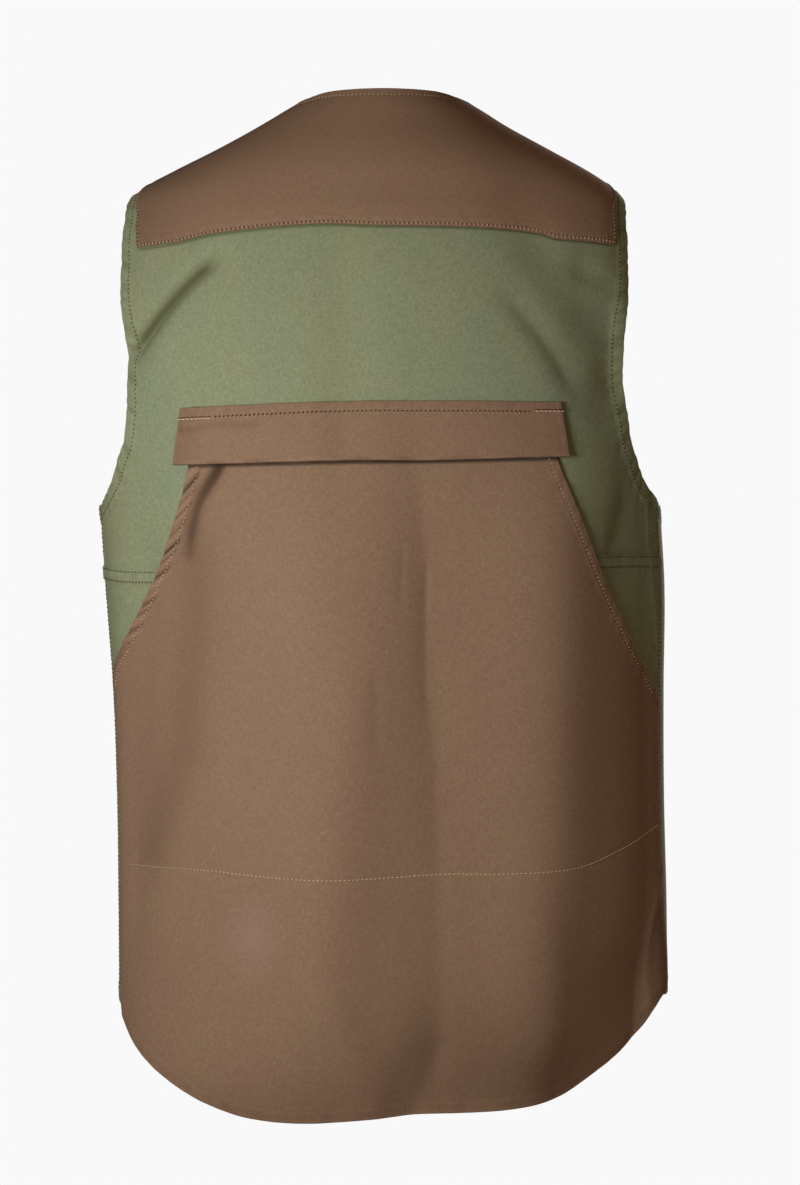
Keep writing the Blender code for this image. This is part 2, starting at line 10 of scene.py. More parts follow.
import bmesh
import bpy
import numpy as np
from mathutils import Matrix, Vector


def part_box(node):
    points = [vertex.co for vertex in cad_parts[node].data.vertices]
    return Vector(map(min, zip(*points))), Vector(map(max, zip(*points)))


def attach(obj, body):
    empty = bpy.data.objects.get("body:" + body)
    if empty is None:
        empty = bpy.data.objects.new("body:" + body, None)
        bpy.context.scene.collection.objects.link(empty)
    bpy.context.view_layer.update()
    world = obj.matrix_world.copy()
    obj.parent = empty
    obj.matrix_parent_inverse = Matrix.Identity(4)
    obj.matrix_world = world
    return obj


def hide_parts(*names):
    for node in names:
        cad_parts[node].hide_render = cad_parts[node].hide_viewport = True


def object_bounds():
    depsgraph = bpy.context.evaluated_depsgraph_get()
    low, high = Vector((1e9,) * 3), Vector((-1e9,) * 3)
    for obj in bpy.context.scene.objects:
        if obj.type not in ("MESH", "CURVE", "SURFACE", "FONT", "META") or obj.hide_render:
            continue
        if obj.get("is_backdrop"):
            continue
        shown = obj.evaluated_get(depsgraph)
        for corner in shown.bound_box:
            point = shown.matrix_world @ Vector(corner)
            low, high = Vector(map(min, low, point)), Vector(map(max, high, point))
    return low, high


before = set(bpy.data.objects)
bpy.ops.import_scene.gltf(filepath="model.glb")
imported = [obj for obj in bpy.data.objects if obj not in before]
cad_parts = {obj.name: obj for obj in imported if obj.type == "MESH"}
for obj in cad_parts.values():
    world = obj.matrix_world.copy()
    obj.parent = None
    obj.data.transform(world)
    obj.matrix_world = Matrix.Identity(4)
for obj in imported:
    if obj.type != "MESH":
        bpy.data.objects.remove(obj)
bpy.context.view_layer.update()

# Upper back. One panel of green canvas, plain woven, from the felled seam to the shoulder seams. It is
# cut with the armholes, whose edges are turned under and topstitched, so they pucker a little. Its
# cloth lies on one worn form, from which every other piece is made too.
METRES = 0.001
CLOTH = 1.5  # from the inner face of a panel to its outer face
WALL = 1.1  # what shows of the cloth's thickness at a cut edge
LEFT_SEAM = -85.0
RIGHT_SEAM = 76.0
UNDERARM = -303.0
RIGHT_UNDERARM = -298.3
BACK_SEAM = -346.0
ARMHOLE_STRIP = 0.022  # share of the back's width that shows beside the yoke
YOKE_SIDE = 0.08  # share of the shoulder seam that shows beside the yoke
SHOULDER_TIP = (113.0, -77.0)
NECK_SIDE = (120.0, -7.0)

Section = namedtuple("Section", "z half_width back_depth front_depth centre_x roundness")
SECTIONS = [
    Section(-780, 204.4, 119, 116, 6.8, 2.30),
    Section(-680, 204.4, 120, 118, 6.8, 2.30),
    Section(-600, 204.4, 121, 120, 6.3, 2.30),
    Section(-520, 204, 122, 122, 4.8, 2.30),
    Section(-440, 205.3, 123, 124, 3.2, 2.30),
    Section(-360, 208.6, 124, 125, 0.5, 2.30),
    Section(-300, 209, 125, 125, -3.2, 2.28),
    Section(-240, 210, 125, 124, -6, 2.26),
    Section(-180, 208.5, 121, 120, -7.5, 2.22),
    Section(-130, 203.5, 115, 112, -7.5, 2.18),
    Section(-92, 196, 105, 102, -7, 2.12),
    Section(-72, 185.5, 95, 93, -6, 2.08),
    Section(-54, 156, 87, 85, -3, 2.04),
    Section(-36, 122, 78, 77, -1.5, 2.0),
    Section(-18, 89.5, 68, 69, -1.5, 2.0),
    Section(-8, 73.5, 63, 65, -1, 2.0),
    Section(-2, 64.5, 60, 63, -1, 2.0),
    Section(6, 56.5, 57, 61, -1, 2.0),
    Section(20, 50, 53, 60, -1, 2.0),
]

# Where each fold starts and ends, how far its middle bows towards +X, its rise, or sink if negative,
# its half widths to its left and right as it runs down, and its power: 2, if not given, is round, and
# 1 is pointed.
Fold = namedtuple("Fold", "side x0 z0 x1 z1 bow rise left right power", defaults=(2,))
BACK_FOLDS = [
    (-118, -126, -190, -196, -4, -3.3, 18, 18),
    (-121, -123, -184, -191, -4, -7.5, 7.0, 6.4),
    (-113, -98, -167, -199, -2, 5.5, 17, 17),
    (103, -97, 169, -243, 7, -4.7, 22, 21),
    (89, -146, 139, -216, 3, -1.8, 12, 14),
    (96, -160, 135, -213, 3, -2.0, 7.5, 11, 1.7),
    (148, -121, 153, -169, 0, -2.7, 14, 14),
    (166, -154, 172, -220, 0, -4.0, 13, 7.5),
    (146, -133, 164, -140, 0, -1.7, 6.5, 7.5),
    (182, -264, 178, -352, 1, -2.6, 16, 16),
    (177, -293, 166, -336, 0, -2.2, 3.8, 7, 1.5),
    (-30, -126, -36, -301, 4, -2.8, 20, 20),
    (-43, -302, -49, -703, -3, 12.5, 38, 58),
    (25, -275, 40, -778, 6, -6.1, 20, 29, 1.5),
    (63, -293, 68, -652, 0, -1.4, 25, 29),
    (122, -277, 114, -671, 3, 7.4, 35, 29),
    (-137, -473, -161, -601, 0, -3.8, 21, 21),
    (202, -327, 193, -672, 0, -6.5, 48, 33),
    (195, -662, 158, -745, 3, -14.0, 45, 40),
    (-42, -661, -6, -752, 1, 3.7, 17, 17),
    (132, -601, 137, -736, 7, -2.9, 19, 35),
    (-209, -790, 221, -735, 0, -17.0, 50, 40),
    (-21, -423, -40, -639, 0, 4.2, 23, 27),
    (45, -560, 46, -739, -1, 2.0, 20, 19),
    (91, -51, 150, -94, 0, -1.7, 20, 20),
    (-104, -560, -108, -720, 0, 1.8, 34, 34),
    (23, -701, 4, -760, 0, -2.6, 12, 15),
    (40, -697, 20, -749, 0, -2.3, 9.5, 13),
    (-176, -299, -187, -641, 0, -6.0, 17, 19),
    (12, -334, 10, -381, 0, -0.6, 4, 2.5, 1.5),
    (31, -345, 30, -460, -2, -1.0, 8, 3.2, 1.5),
    (-7.5, -425, -7, -487, 0, -0.7, 4, 4, 1.5),
]
FRONT_FOLDS = [
    (-128, -130, -60, -290, -8, -5.0, 18, 18),
    (126, -130, 64, -280, 8, -5.0, 18, 18),
    (-158, -300, -120, -420, 0, -4.0, 18, 18),
    (156, -300, 124, -400, 0, -4.0, 18, 18),
    (-92, -430, -104, -668, 6, 4.0, 24, 24),
    (98, -410, 108, -668, -6, 4.5, 24, 24),
    (-46, -520, -50, -668, 0, -3.0, 18, 18),
]
FOLDS = [Fold("back", *row) for row in BACK_FOLDS] + [Fold("front", *row) for row in FRONT_FOLDS]
FOLD_CORE = 0.32  # share of a fold's length, either way from its middle, at full rise
FOLD_FADE = 0.14  # share of its length over which it then fades
SIDE_FADE = (0.18, 0.45)  # how far from the very side the folds start, and are whole
NARROW = 7.2  # half width below which a crease gets painted shade
# how much painted shade a narrow crease gets for each mm that it sinks
CREASE_SHADE_PER_MM = 0.22


def soft(distance, width):
    """A soft bell, 1 where the distance is 0."""
    return np.exp(-((distance / width) ** 2))


def held(value):
    """A value held between 0 and 1."""
    return np.clip(value, 0.0, 1.0)


def eased(column, z):
    """A smooth curve through one column of the sections, read at z."""
    heights = np.array([row.z for row in SECTIONS], float)
    values = np.array([getattr(row, column) for row in SECTIONS], float)
    slopes = np.gradient(values, heights)
    below = np.clip(np.searchsorted(heights, z) - 1, 0, len(heights) - 2)
    span = heights[below + 1] - heights[below]
    t = held((z - heights[below]) / span)
    rising = t * t * (3.0 - 2.0 * t)
    curved = values[below] * (1.0 - rising) + values[below + 1] * rising
    curved += span * slopes[below] * t * (1.0 - t) ** 2
    return curved - span * slopes[below + 1] * t * t * (1.0 - t)


def folded(fold, x, z):
    """The share of its whole rise that a fold has at x and z."""
    along = np.array([fold.x1 - fold.x0, fold.z1 - fold.z0], float)
    length = np.hypot(*along)
    along /= length
    t = ((x - fold.x0) * along[0] + (z - fold.z0) * along[1]) / length
    across = (x - fold.x0) * -along[1] + (z - fold.z0) * along[0]
    inside = held(t)
    across = across - fold.bow * 4.0 * inside * (1.0 - inside) * math.copysign(1.0, -along[1])
    past = np.maximum(np.abs(t - 0.5) - FOLD_CORE, 0.0) * length
    fade = soft(past, FOLD_FADE * length + 0.5 * (fold.left + fold.right))
    share = across / np.where(across < 0.0, fold.left, fold.right)
    softened = (share**2 + 0.01) ** (0.5 * fold.power) - 0.1**fold.power
    return fade * np.exp(-softened)


def folding(side, x, z):
    """How far the folds of one side move the cloth out at x and z."""
    return sum(fold.rise * folded(fold, x, z) for fold in FOLDS if fold.side == side)


def crease_shade(points):
    """Painted shade at the foot of the narrow creases, darker the deeper they sink."""
    painted_shade = np.zeros(points.shape[:-1])
    for fold in FOLDS:
        if fold.rise < 0.0 and min(fold.left, fold.right) < NARROW:
            here = (points[..., 1] < 0.0) == (fold.side == "back")
            painted_shade += CREASE_SHADE_PER_MM * fold.rise * folded(fold, points[..., 0], points[..., 2]) ** 2 * here
    return painted_shade


def on_form(place):
    """Points of the cloth's inner face for an array of angle and height pairs."""
    angle, z = place[..., 0], place[..., 1]
    sine, cosine = np.sin(np.radians(angle)), np.cos(np.radians(angle))
    power = eased("roundness", z)
    reach = (np.abs(sine) ** power + np.abs(cosine) ** power) ** (-1.0 / power)
    width = eased("half_width", z)
    depth = np.where(cosine > 0.0, eased("back_depth", z), eased("front_depth", z))
    x = width * reach * sine
    y = -depth * reach * cosine
    centre = eased("centre_x", z)
    towards_side = held((np.abs(cosine) - SIDE_FADE[0]) / (SIDE_FADE[1] - SIDE_FADE[0]))
    fade = towards_side**2 * (3.0 - 2.0 * towards_side)
    folds = fade * np.where(cosine > 0.0, folding("back", x + centre, z), folding("front", x + centre, z))
    out_x, out_y = sine * depth, -cosine * width
    size = np.hypot(out_x, out_y)
    return np.stack([centre + x + folds * out_x / size, y + folds * out_y / size, z], axis=-1)


TURN_STEP = np.array([0.3, 0.0])
RISE_STEP = np.array([0.0, 0.6])


def unit_normal(face, place):
    """The unit normals of a face that is given for angles and heights, from a step to each side."""
    along = face(place + TURN_STEP) - face(place - TURN_STEP)
    up = face(place + RISE_STEP) - face(place - RISE_STEP)
    normal = np.cross(along, up)
    return normal / np.linalg.norm(normal, axis=-1, keepdims=True)


def outward(place):
    """The form's unit normals."""
    return unit_normal(on_form, place)


def angle_at(x, z):
    """The back's angle at distance x from the garment's middle line. The front's is 180 less this."""
    nearly_side = 0.9999
    share = np.abs(x - eased("centre_x", z)) / eased("half_width", z)
    share = np.clip(share, 0.0, nearly_side)
    power = eased("roundness", z)
    tangent = (share**power / (1.0 - share**power)) ** (1.0 / power)
    return np.degrees(np.arctan(tangent)) * np.sign(x - eased("centre_x", z))


CURVE_STEPS = 16


def curve_through(points, steps=CURVE_STEPS):
    """A dense smooth curve through pairs of numbers."""
    knots = np.array(points, float)
    knots = np.vstack([2 * knots[0] - knots[1], knots, 2 * knots[-1] - knots[-2]])
    pieces = []
    for before, start, end, after in zip(knots, knots[1:], knots[2:], knots[3:]):
        t = np.linspace(0.0, 1.0, steps, endpoint=False)[:, None]
        bend = (2.0 * before - 5.0 * start + 4.0 * end - after) * t**2
        turn = (3.0 * start - before - 3.0 * end + after) * t**3
        pieces.append(0.5 * (2.0 * start + (end - before) * t + bend + turn))
    return np.vstack([*pieces, knots[-2][None, :]])


def travelled(points):
    """The distance from the first point of a line to each of its points."""
    return np.concatenate([[0.0], np.cumsum(np.linalg.norm(np.diff(points, axis=0), axis=1))])


def read_at(at, run, points):
    """The points of a line at these distances or shares, where run holds those of its own points."""
    return np.stack([np.interp(at, run, values) for values in points.T], axis=-1)


def by_length(curve):
    """An edge of a panel, read by shares of its real length."""
    run = travelled(on_form(curve))
    return lambda shares: read_at(shares * run[-1], run, curve)


def by_angle(curve):
    """An edge of a panel, read by shares of the angle that it spans."""
    share = (curve[:, 0] - curve[0, 0]) / (curve[-1, 0] - curve[0, 0])
    return lambda shares: read_at(shares, share, curve)


def panel(foot, top, left, right, across, up):
    """A grid of angles and heights between four edges, at these shares across and up."""
    ends = np.array([0.0, 1.0])
    (foot_left, foot_right), (top_left, top_right) = foot(ends), top(ends)
    s, t = across[None, :, None], up[:, None, None]
    ruled = (1.0 - t) * foot(across)[None] + t * top(across)[None]
    sided = (1.0 - s) * left(up)[:, None] + s * right(up)[:, None]
    corners = (1.0 - t) * ((1.0 - s) * foot_left + s * foot_right)
    return ruled + sided - corners - t * ((1.0 - s) * top_left + s * top_right)


def mirrored(curve):
    return curve * np.array([-1.0, 1.0])


EDGE_STEPS = np.array([0.0, 0.5, 1.0, 1.7, 2.5, 3.3, 4.2, 5.1, 6.0, 7.0, 8.0, 9.2, 10.6, 12.2])


def shares(length, step, start=True, end=True):
    """Shares of a length: close together by an edge that is sewn, and about one step apart elsewhere."""
    first = EDGE_STEPS if start else np.array([0.0])
    last = length - EDGE_STEPS[::-1] if end else np.array([length])
    count = max(int(round((last[0] - first[-1]) / step)), 1)
    middle = np.linspace(first[-1], last[0], count + 1)
    return np.concatenate([first[:-1], middle, last[1:]]) / length


def near(points, line):
    """Each point's distance from a line, and how far along the line it lies."""
    run = travelled(line)
    count = int(run[-1] / 1.5) + 2
    even = np.linspace(0.0, run[-1], count)
    line = read_at(even, run, line)
    flat = points.reshape(-1, 3)
    distance, along = np.empty(len(flat)), np.empty(len(flat))
    for start in range(0, len(flat), 4096):
        some = flat[start : start + 4096]
        squares = (some**2).sum(1)[:, None] + (line**2).sum(1)[None] - 2.0 * some @ line.T
        nearest = np.clip(squares.argmin(1), 1, count - 2)
        best = np.full(len(some), np.inf)
        place = np.zeros(len(some))
        for first in (nearest - 1, nearest):
            piece = line[first + 1] - line[first]
            share = ((some - line[first]) * piece).sum(1) / np.maximum((piece**2).sum(1), 1e-9)
            share = held(share)
            gap = np.linalg.norm(some - line[first] - piece * share[:, None], axis=1)
            closer = gap < best
            best = np.where(closer, gap, best)
            place = np.where(closer, even[first] + share * (even[1] - even[0]), place)
        distance[start : start + 4096] = best
        along[start : start + 4096] = place
    return distance.reshape(points.shape[:-1]), along.reshape(points.shape[:-1])


def ripple(along, pitch, seed):
    """An uneven wave between about -1 and 1."""
    chance = np.random.default_rng(seed)
    bent = along + 0.22 * pitch * np.sin(2.0 * math.pi * (along / (pitch * 3.3) + chance.random()))
    wave = 0.6 * np.sin(2.0 * math.pi * (bent / pitch + chance.random()))
    for part, size in ((0.57, 0.2), (1.9, 0.3), (4.1, 0.2)):
        wave += size * np.sin(2.0 * math.pi * (along / (pitch * part) + chance.random()))
    return wave


# A turned edge: its line, the band's width and rise, the height, pitch and slant of its puckers, how
# pale its very edge is worn, or, if negative, how dark a painted shade line along it is, the seed of
# its puckers, the distances of its stitch rows, and how far it is pressed down and over what width.
TURNING_PARTS = "edge width thick pucker pitch slant worn seed rows sink sink_width"
Turning = namedtuple("Turning", TURNING_PARTS, defaults=((), 0.0, 1.0))


def turned(points, turning):
    """How far a turned and topstitched edge raises the cloth's outer face, and its wear and painted shade
    there.
    """
    distance, along = near(points, on_form(turning.edge))
    inside = 0.5 - 0.5 * np.tanh((distance - turning.width) / 0.7)
    rounded = held(1.0 - distance / 1.1) ** 2
    groove = np.zeros_like(distance)
    for row in turning.rows:
        groove += soft(distance - row, 0.9)
    wave = np.minimum(ripple(along + turning.slant * distance, turning.pitch, turning.seed), 0.4)
    nearby = soft(np.maximum(distance - turning.width, 0.0), 5.0)
    wave *= nearby * (1.0 - 0.6 * np.minimum(groove, 1.0))
    rise = turning.thick * inside - 0.4 * rounded - 0.45 * groove + turning.pucker * wave
    rise -= turning.sink * soft(distance, turning.sink_width)
    # Painted shade darkens the stitch grooves and any edge whose tone is negative, and the puckers get
    # painted light on their crests and painted shade in their dips. A positive edge tone is pale wear.
    worn = turning.worn * soft(distance, 1.3) - 0.3 * groove
    worn += 1.3 * turning.pucker * wave * inside
    return rise, worn


class Layer:
    """A cloth piece's outer face: the form, its lift, its turned edges and any creases of its own."""

    def __init__(self, lift, turnings=(), creases=None):
        self.lift = lift
        self.turnings = turnings
        self.creases = creases

    def face(self, place, with_wear_and_shade=False):
        points = on_form(place)
        rise = np.zeros(place.shape[:-1]) + CLOTH
        rise += self.lift(place) if callable(self.lift) else self.lift
        wear_and_shade = crease_shade(points)
        for turning in self.turnings:
            more, worn = turned(points, turning)
            rise += more
            wear_and_shade += worn
        if self.creases:
            more, worn = self.creases(place, points)
            rise += more
            wear_and_shade += worn
        face = points + outward(place) * rise[..., None]
        return (face, np.clip(wear_and_shade, -2.0, 1.0)) if with_wear_and_shade else face

    def normal(self, place):
        return unit_normal(self.face, place)


# The reach round the body from the middle of the back, for every degree at each of these heights.
LEVEL_ANGLE, LEVEL_FOOT, LEVEL_STEP, LEVELS = 185, -780.0, 5.0, 160
level_angles = np.linspace(-LEVEL_ANGLE, LEVEL_ANGLE, 2 * LEVEL_ANGLE + 1)
level_heights = LEVEL_FOOT + LEVEL_STEP * np.arange(LEVELS + 1)
level_grid = np.stack(np.meshgrid(level_angles, level_heights), axis=-1)
level_steps = np.linalg.norm(np.diff(on_form(level_grid), axis=1), axis=2)
level_reach = np.pad(np.cumsum(level_steps, axis=1), ((0, 0), (1, 0)))
level_reach -= level_reach[:, LEVEL_ANGLE : LEVEL_ANGLE + 1]


def round_body(place):
    """Where the threads of a body panel run: by its reach round the body, and up."""
    row = np.clip((place[..., 1] - LEVEL_FOOT) / LEVEL_STEP, 0.0, LEVELS - 0.001)
    column = np.clip(place[..., 0] + LEVEL_ANGLE, 0.0, 2 * LEVEL_ANGLE - 0.001)
    low, left = row.astype(int), column.astype(int)
    t, s = row - low, column - left
    below = level_reach[low, left] * (1.0 - s) + level_reach[low, left + 1] * s
    above = level_reach[low + 1, left] * (1.0 - s) + level_reach[low + 1, left + 1] * s
    return np.stack([below * (1.0 - t) + above * t, place[..., 1]], axis=-1)


def over_shoulder(place):
    """Where the threads of the yoke run: straight across, and up over the shoulder."""
    points = on_form(place)
    return np.stack([points[..., 0], points[..., 1] + points[..., 2]], axis=-1)


def placed(name, mesh):
    """An object for a finished mesh, on the garment's one body."""
    piece = bpy.data.objects.new(name, mesh)
    bpy.context.scene.collection.objects.link(piece)
    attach(piece, "root")
    return piece


def shell(node, grid, layer, finish, threads=round_body):
    """A closed thin shell in place of a node's cloth, with the run of its threads as its UV map."""
    outer, wear_and_shade = layer.face(grid, with_wear_and_shade=True)
    inner = outer - outward(grid) * WALL
    used = ~np.isnan(outer[..., 0])
    count = int(used.sum())
    number = np.cumsum(used).reshape(used.shape) - 1
    whole = used[:-1, :-1] & used[1:, :-1] & used[:-1, 1:] & used[1:, 1:]
    a, b = number[:-1, :-1][whole], number[:-1, 1:][whole]
    c, d = number[1:, 1:][whole], number[1:, :-1][whole]
    front = np.stack([a, b, c, d], axis=1)
    ends = np.concatenate([front[:, [0, 1]], front[:, [1, 2]], front[:, [2, 3]], front[:, [3, 0]]])
    keys = ends[:, 0] * count + ends[:, 1]
    border = ends[~np.isin(ends[:, 1] * count + ends[:, 0], keys)]
    back = front[:, ::-1] + count
    rim = np.stack([border[:, 1], border[:, 0], border[:, 0] + count, border[:, 1] + count], axis=1)
    faces = np.concatenate([front, back, rim])
    mesh = bpy.data.meshes.new(f"{node}_cloth")
    mesh.from_pydata(np.concatenate([outer[used], inner[used]]) * METRES, [], faces.tolist())
    run = threads(np.nan_to_num(grid))[used] * METRES
    run = np.concatenate([run, run])
    cloth_map = mesh.uv_layers.new(name="cloth")
    cloth_map.data.foreach_set("uv", run[faces.reshape(-1)].astype(np.float32).ravel())
    both = np.concatenate([wear_and_shade[used], np.zeros(count)]).astype(np.float32)
    mesh.attributes.new("wear_and_shade", "FLOAT", "POINT").data.foreach_set("value", both)
    mesh.shade_smooth()
    mesh.materials.append(finish)
    piece = placed(mesh.name, mesh)
    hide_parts(node)
    return piece


class Value:
    """A socket of a material, so that shader maths reads as plain sums."""

    def __init__(self, finish, socket):
        self.finish = finish
        self.socket = socket

    def maths(self, operation, *others):
        values = dict(enumerate((self, *others)))
        return self.finish.node("ShaderNodeMath", {"operation": operation}, values)

    def __add__(self, other):
        return self.maths("ADD", other)

    def __sub__(self, other):
        return self.maths("SUBTRACT", other)

    def __rsub__(self, other):
        return self * -1.0 + other

    def __mul__(self, other):
        return self.maths("MULTIPLY", other)

    def __truediv__(self, other):
        return self.maths("DIVIDE", other)

    def __rtruediv__(self, other):
        return self.maths("POWER", -1.0) * other

    __radd__ = __add__
    __rmul__ = __mul__

    def clamped(self):
        return self.finish.node("ShaderNodeClamp", None, {"Value": self})


class Finish:
    """A material in the making. Any node comes from node(), settings first and then its sockets."""

    def __init__(self, name, **uniform):
        self.material = bpy.data.materials.new(name)
        self.material.use_nodes = True
        self.tree = self.material.node_tree
        self.shader = self.tree.nodes["Principled BSDF"]
        for socket, value in uniform.items():
            self.shader.inputs[socket.replace("_", " ")].default_value = value

    def node(self, kind, settings=None, sockets=None, output=0):
        made = self.tree.nodes.new(kind)
        for name, value in (settings or {}).items():
            setattr(made, name, value)
        for name, value in (sockets or {}).items():
            if isinstance(value, Value):
                self.tree.links.new(value.socket, made.inputs[name])
            else:
                made.inputs[name].default_value = value
        return Value(self, made.outputs[output])

    def to_shader(self, socket, value):
        self.tree.links.new(value.socket, self.shader.inputs[socket])

    def mix(self, factor, first, second):
        return self.node("ShaderNodeMix", {"data_type": "RGBA"}, {0: factor, 6: first, 7: second}, 2)

    def noise(self, vector, scale, detail=2.0):
        return self.node("ShaderNodeTexNoise", None, {"Vector": vector, "Scale": scale, "Detail": detail})

    def vector(self, x, y, z=0.0):
        return self.node("ShaderNodeCombineXYZ", None, {0: x, 1: y, 2: z})

    def bump(self, height, distance, strength):
        sockets = {"Height": height, "Distance": distance, "Strength": strength}
        self.to_shader("Normal", self.node("ShaderNodeBump", None, sockets))


def canvas(name, tone, pale, deep, patch, flecked=1.0, worn=None):
    """Plain-woven cotton canvas: each thread goes over and under, and differs a little in tone."""
    thread_pitch = 0.62
    made = Finish(name, Sheen_Weight=0.02, Sheen_Roughness=0.6, Specular_IOR_Level=0.15)
    cloth_map = made.node("ShaderNodeUVMap", {"uv_map": "cloth"})
    u = made.node("ShaderNodeSeparateXYZ", None, {0: cloth_map}, "X") * (1.0 / METRES)
    v = made.node("ShaderNodeSeparateXYZ", None, {0: cloth_map}, "Y") * (1.0 / METRES)
    # The number of each thread across and along, and how high it stands where it goes over another.
    drift = made.noise(made.vector(u, v), 0.09) * 0.8
    warp = u / thread_pitch + drift
    weft = v / thread_pitch + drift
    warp_number = warp.maths("FLOOR")
    weft_number = weft.maths("FLOOR")
    warp_over = ((warp_number + weft - 0.5) * math.pi).maths("COSINE")
    weft_over = ((weft_number + warp - 0.5) * math.pi).maths("COSINE")
    warp_height = (warp * math.pi).maths("SINE").maths("ABSOLUTE") * (warp_over * 0.5 + 0.5)
    weft_height = (weft * math.pi).maths("SINE").maths("ABSOLUTE") * (0.5 - weft_over * 0.5)
    weave = warp_height.maths("MAXIMUM", weft_height)
    # Streaks along single threads, fine grain and large soft patches, each of its own tone.
    warp_tone = made.noise(made.vector(u * 1.3, v * 0.16), 1.0)
    weft_tone = made.noise(made.vector(u * 0.13, v * 1.3, 7.0), 1.0)
    grain = made.noise(made.vector(u, v, 3.0), 0.55, 4.0)
    fleck = ((warp_tone * 1.3 + weft_tone * 0.7) * 0.45 + grain * 0.9 - 0.9) * flecked
    cloudy = made.noise(made.vector(u, v * 0.7), 0.016, 3.0)
    patchy = ((cloudy - 0.5) * 3.0 + 0.5).clamped()
    colour = made.mix(patchy, (*tone, 1.0), (*patch, 1.0))
    colour = made.mix((fleck * 1.5).clamped(), colour, (*pale, 1.0))
    colour = made.mix((fleck * -1.5).clamped(), colour, (*deep, 1.0))
    # Painted shade where the threads sink between the ones that pass over them.
    colour = made.mix(((0.4 - weave) * 0.6).clamped(), colour, (*deep, 1.0))
    # Above 0 the cloth is worn pale where it is rubbed, and carries painted light on pucker crests.
    # Below 0 it is painted shade, darkest as it nears -2.
    wear_and_shade = made.node("ShaderNodeAttribute", {"attribute_name": "wear_and_shade"}, None, "Fac")
    colour = made.mix((wear_and_shade * (grain * 0.9 + 0.1)).clamped() * 0.8, colour, (*pale, 1.0))
    colour = made.mix((wear_and_shade * -0.8).clamped(), colour, (*deep, 1.0))
    painted_shade = [0.3 * part for part in deep]
    colour = made.mix((wear_and_shade * -0.75 - 0.75).clamped(), colour, (*painted_shade, 1.0))
    if worn:
        colour = worn(made, colour, u, v)
    made.to_shader("Base Color", colour)
    made.to_shader("Roughness", 0.95 - weave * 0.08)
    made.bump(weave * 0.3 + fleck * 0.6, 0.0002, 0.6)
    return made.material


GREEN = (0.222, 0.239, 0.128)
GREEN_PALE = (0.315, 0.335, 0.20)
GREEN_DEEP = (0.125, 0.130, 0.058)
GREEN_PATCH = (0.196, 0.226, 0.136)
green_canvas = canvas("green canvas", GREEN, GREEN_PALE, GREEN_DEEP, GREEN_PATCH)

STITCH = 3.25
HALF = 0.5 * STITCH


def stitching_tree():
    """Geometry nodes that lay one small thread bead on a line for each stitch."""
    tree = bpy.data.node_groups.new("stitches along a line", "GeometryNodeTree")
    interface = tree.interface
    inputs = [("Line", "Geometry"), ("Pitch", "Float"), ("Length", "Float"), ("Thread", "Float")]
    inputs += [("Slant", "Float"), ("Seed", "Int"), ("Finish", "Material")]
    for name, kind in inputs:
        interface.new_socket(name, in_out="INPUT", socket_type=f"NodeSocket{kind}")
    interface.new_socket("Stitches", in_out="OUTPUT", socket_type="NodeSocketGeometry")

    def node(kind, settings=None, **sockets):
        made = tree.nodes.new(kind)
        for name, value in (settings or {}).items():
            setattr(made, name, value)
        for name, value in sockets.items():
            socket = made.inputs[name.replace("_", " ")]
            if isinstance(value, bpy.types.NodeSocket):
                tree.links.new(value, socket)
            else:
                socket.default_value = value
        return made

    given = tree.nodes.new("NodeGroupInput").outputs
    curve = node("GeometryNodeMeshToCurve", Mesh=given["Line"])
    evenly = {"mode": "LENGTH"}
    points = node("GeometryNodeResampleCurve", evenly, Curve=curve.outputs[0], Length=given["Pitch"])
    bead = node("GeometryNodeMeshUVSphere", Segments=6, Rings=4, Radius=0.5)
    size = node("ShaderNodeCombineXYZ", X=given["Length"], Y=given["Thread"], Z=given["Thread"])
    shaped = node("GeometryNodeTransform", Geometry=bead.outputs[0], Scale=size.outputs[0])
    up = node("GeometryNodeInputNamedAttribute", {"data_type": "FLOAT_VECTOR"}, Name="outward")
    sway = node("FunctionNodeRandomValue", {"data_type": "FLOAT_VECTOR"}, Seed=given["Seed"])
    sway.inputs[0].default_value = [-0.07] * 3
    sway.inputs[1].default_value = [0.07] * 3
    tangent = node("GeometryNodeInputTangent")
    along = node("ShaderNodeVectorMath", {"operation": "ADD"})
    tree.links.new(tangent.outputs[0], along.inputs[0])
    tree.links.new(sway.outputs[0], along.inputs[1])
    facing = node("FunctionNodeAlignRotationToVector", {"axis": "Z"}, Vector=up.outputs[0])
    turned_along = node("FunctionNodeAlignRotationToVector", {"axis": "X"}, Vector=along.outputs[0])
    tree.links.new(facing.outputs[0], turned_along.inputs["Rotation"])
    slant = node("FunctionNodeAxisAngleToRotation", Axis=(0.0, 0.0, 1.0), Angle=given["Slant"])
    slanted = node("FunctionNodeRotateRotation", {"rotation_space": "LOCAL"})
    tree.links.new(turned_along.outputs[0], slanted.inputs[0])
    tree.links.new(slant.outputs[0], slanted.inputs[1])
    laid = node("GeometryNodeInstanceOnPoints", Points=points.outputs[0], Instance=shaped.outputs[0])
    tree.links.new(slanted.outputs[0], laid.inputs["Rotation"])
    real = node("GeometryNodeRealizeInstances", Geometry=laid.outputs[0])
    smooth = node("GeometryNodeSetShadeSmooth", Geometry=real.outputs[0])
    finished = node("GeometryNodeSetMaterial", Geometry=smooth.outputs[0], Material=given["Finish"])
    made = tree.nodes.new("NodeGroupOutput")
    tree.links.new(finished.outputs[0], made.inputs[0])
    return tree


stitches = stitching_tree()


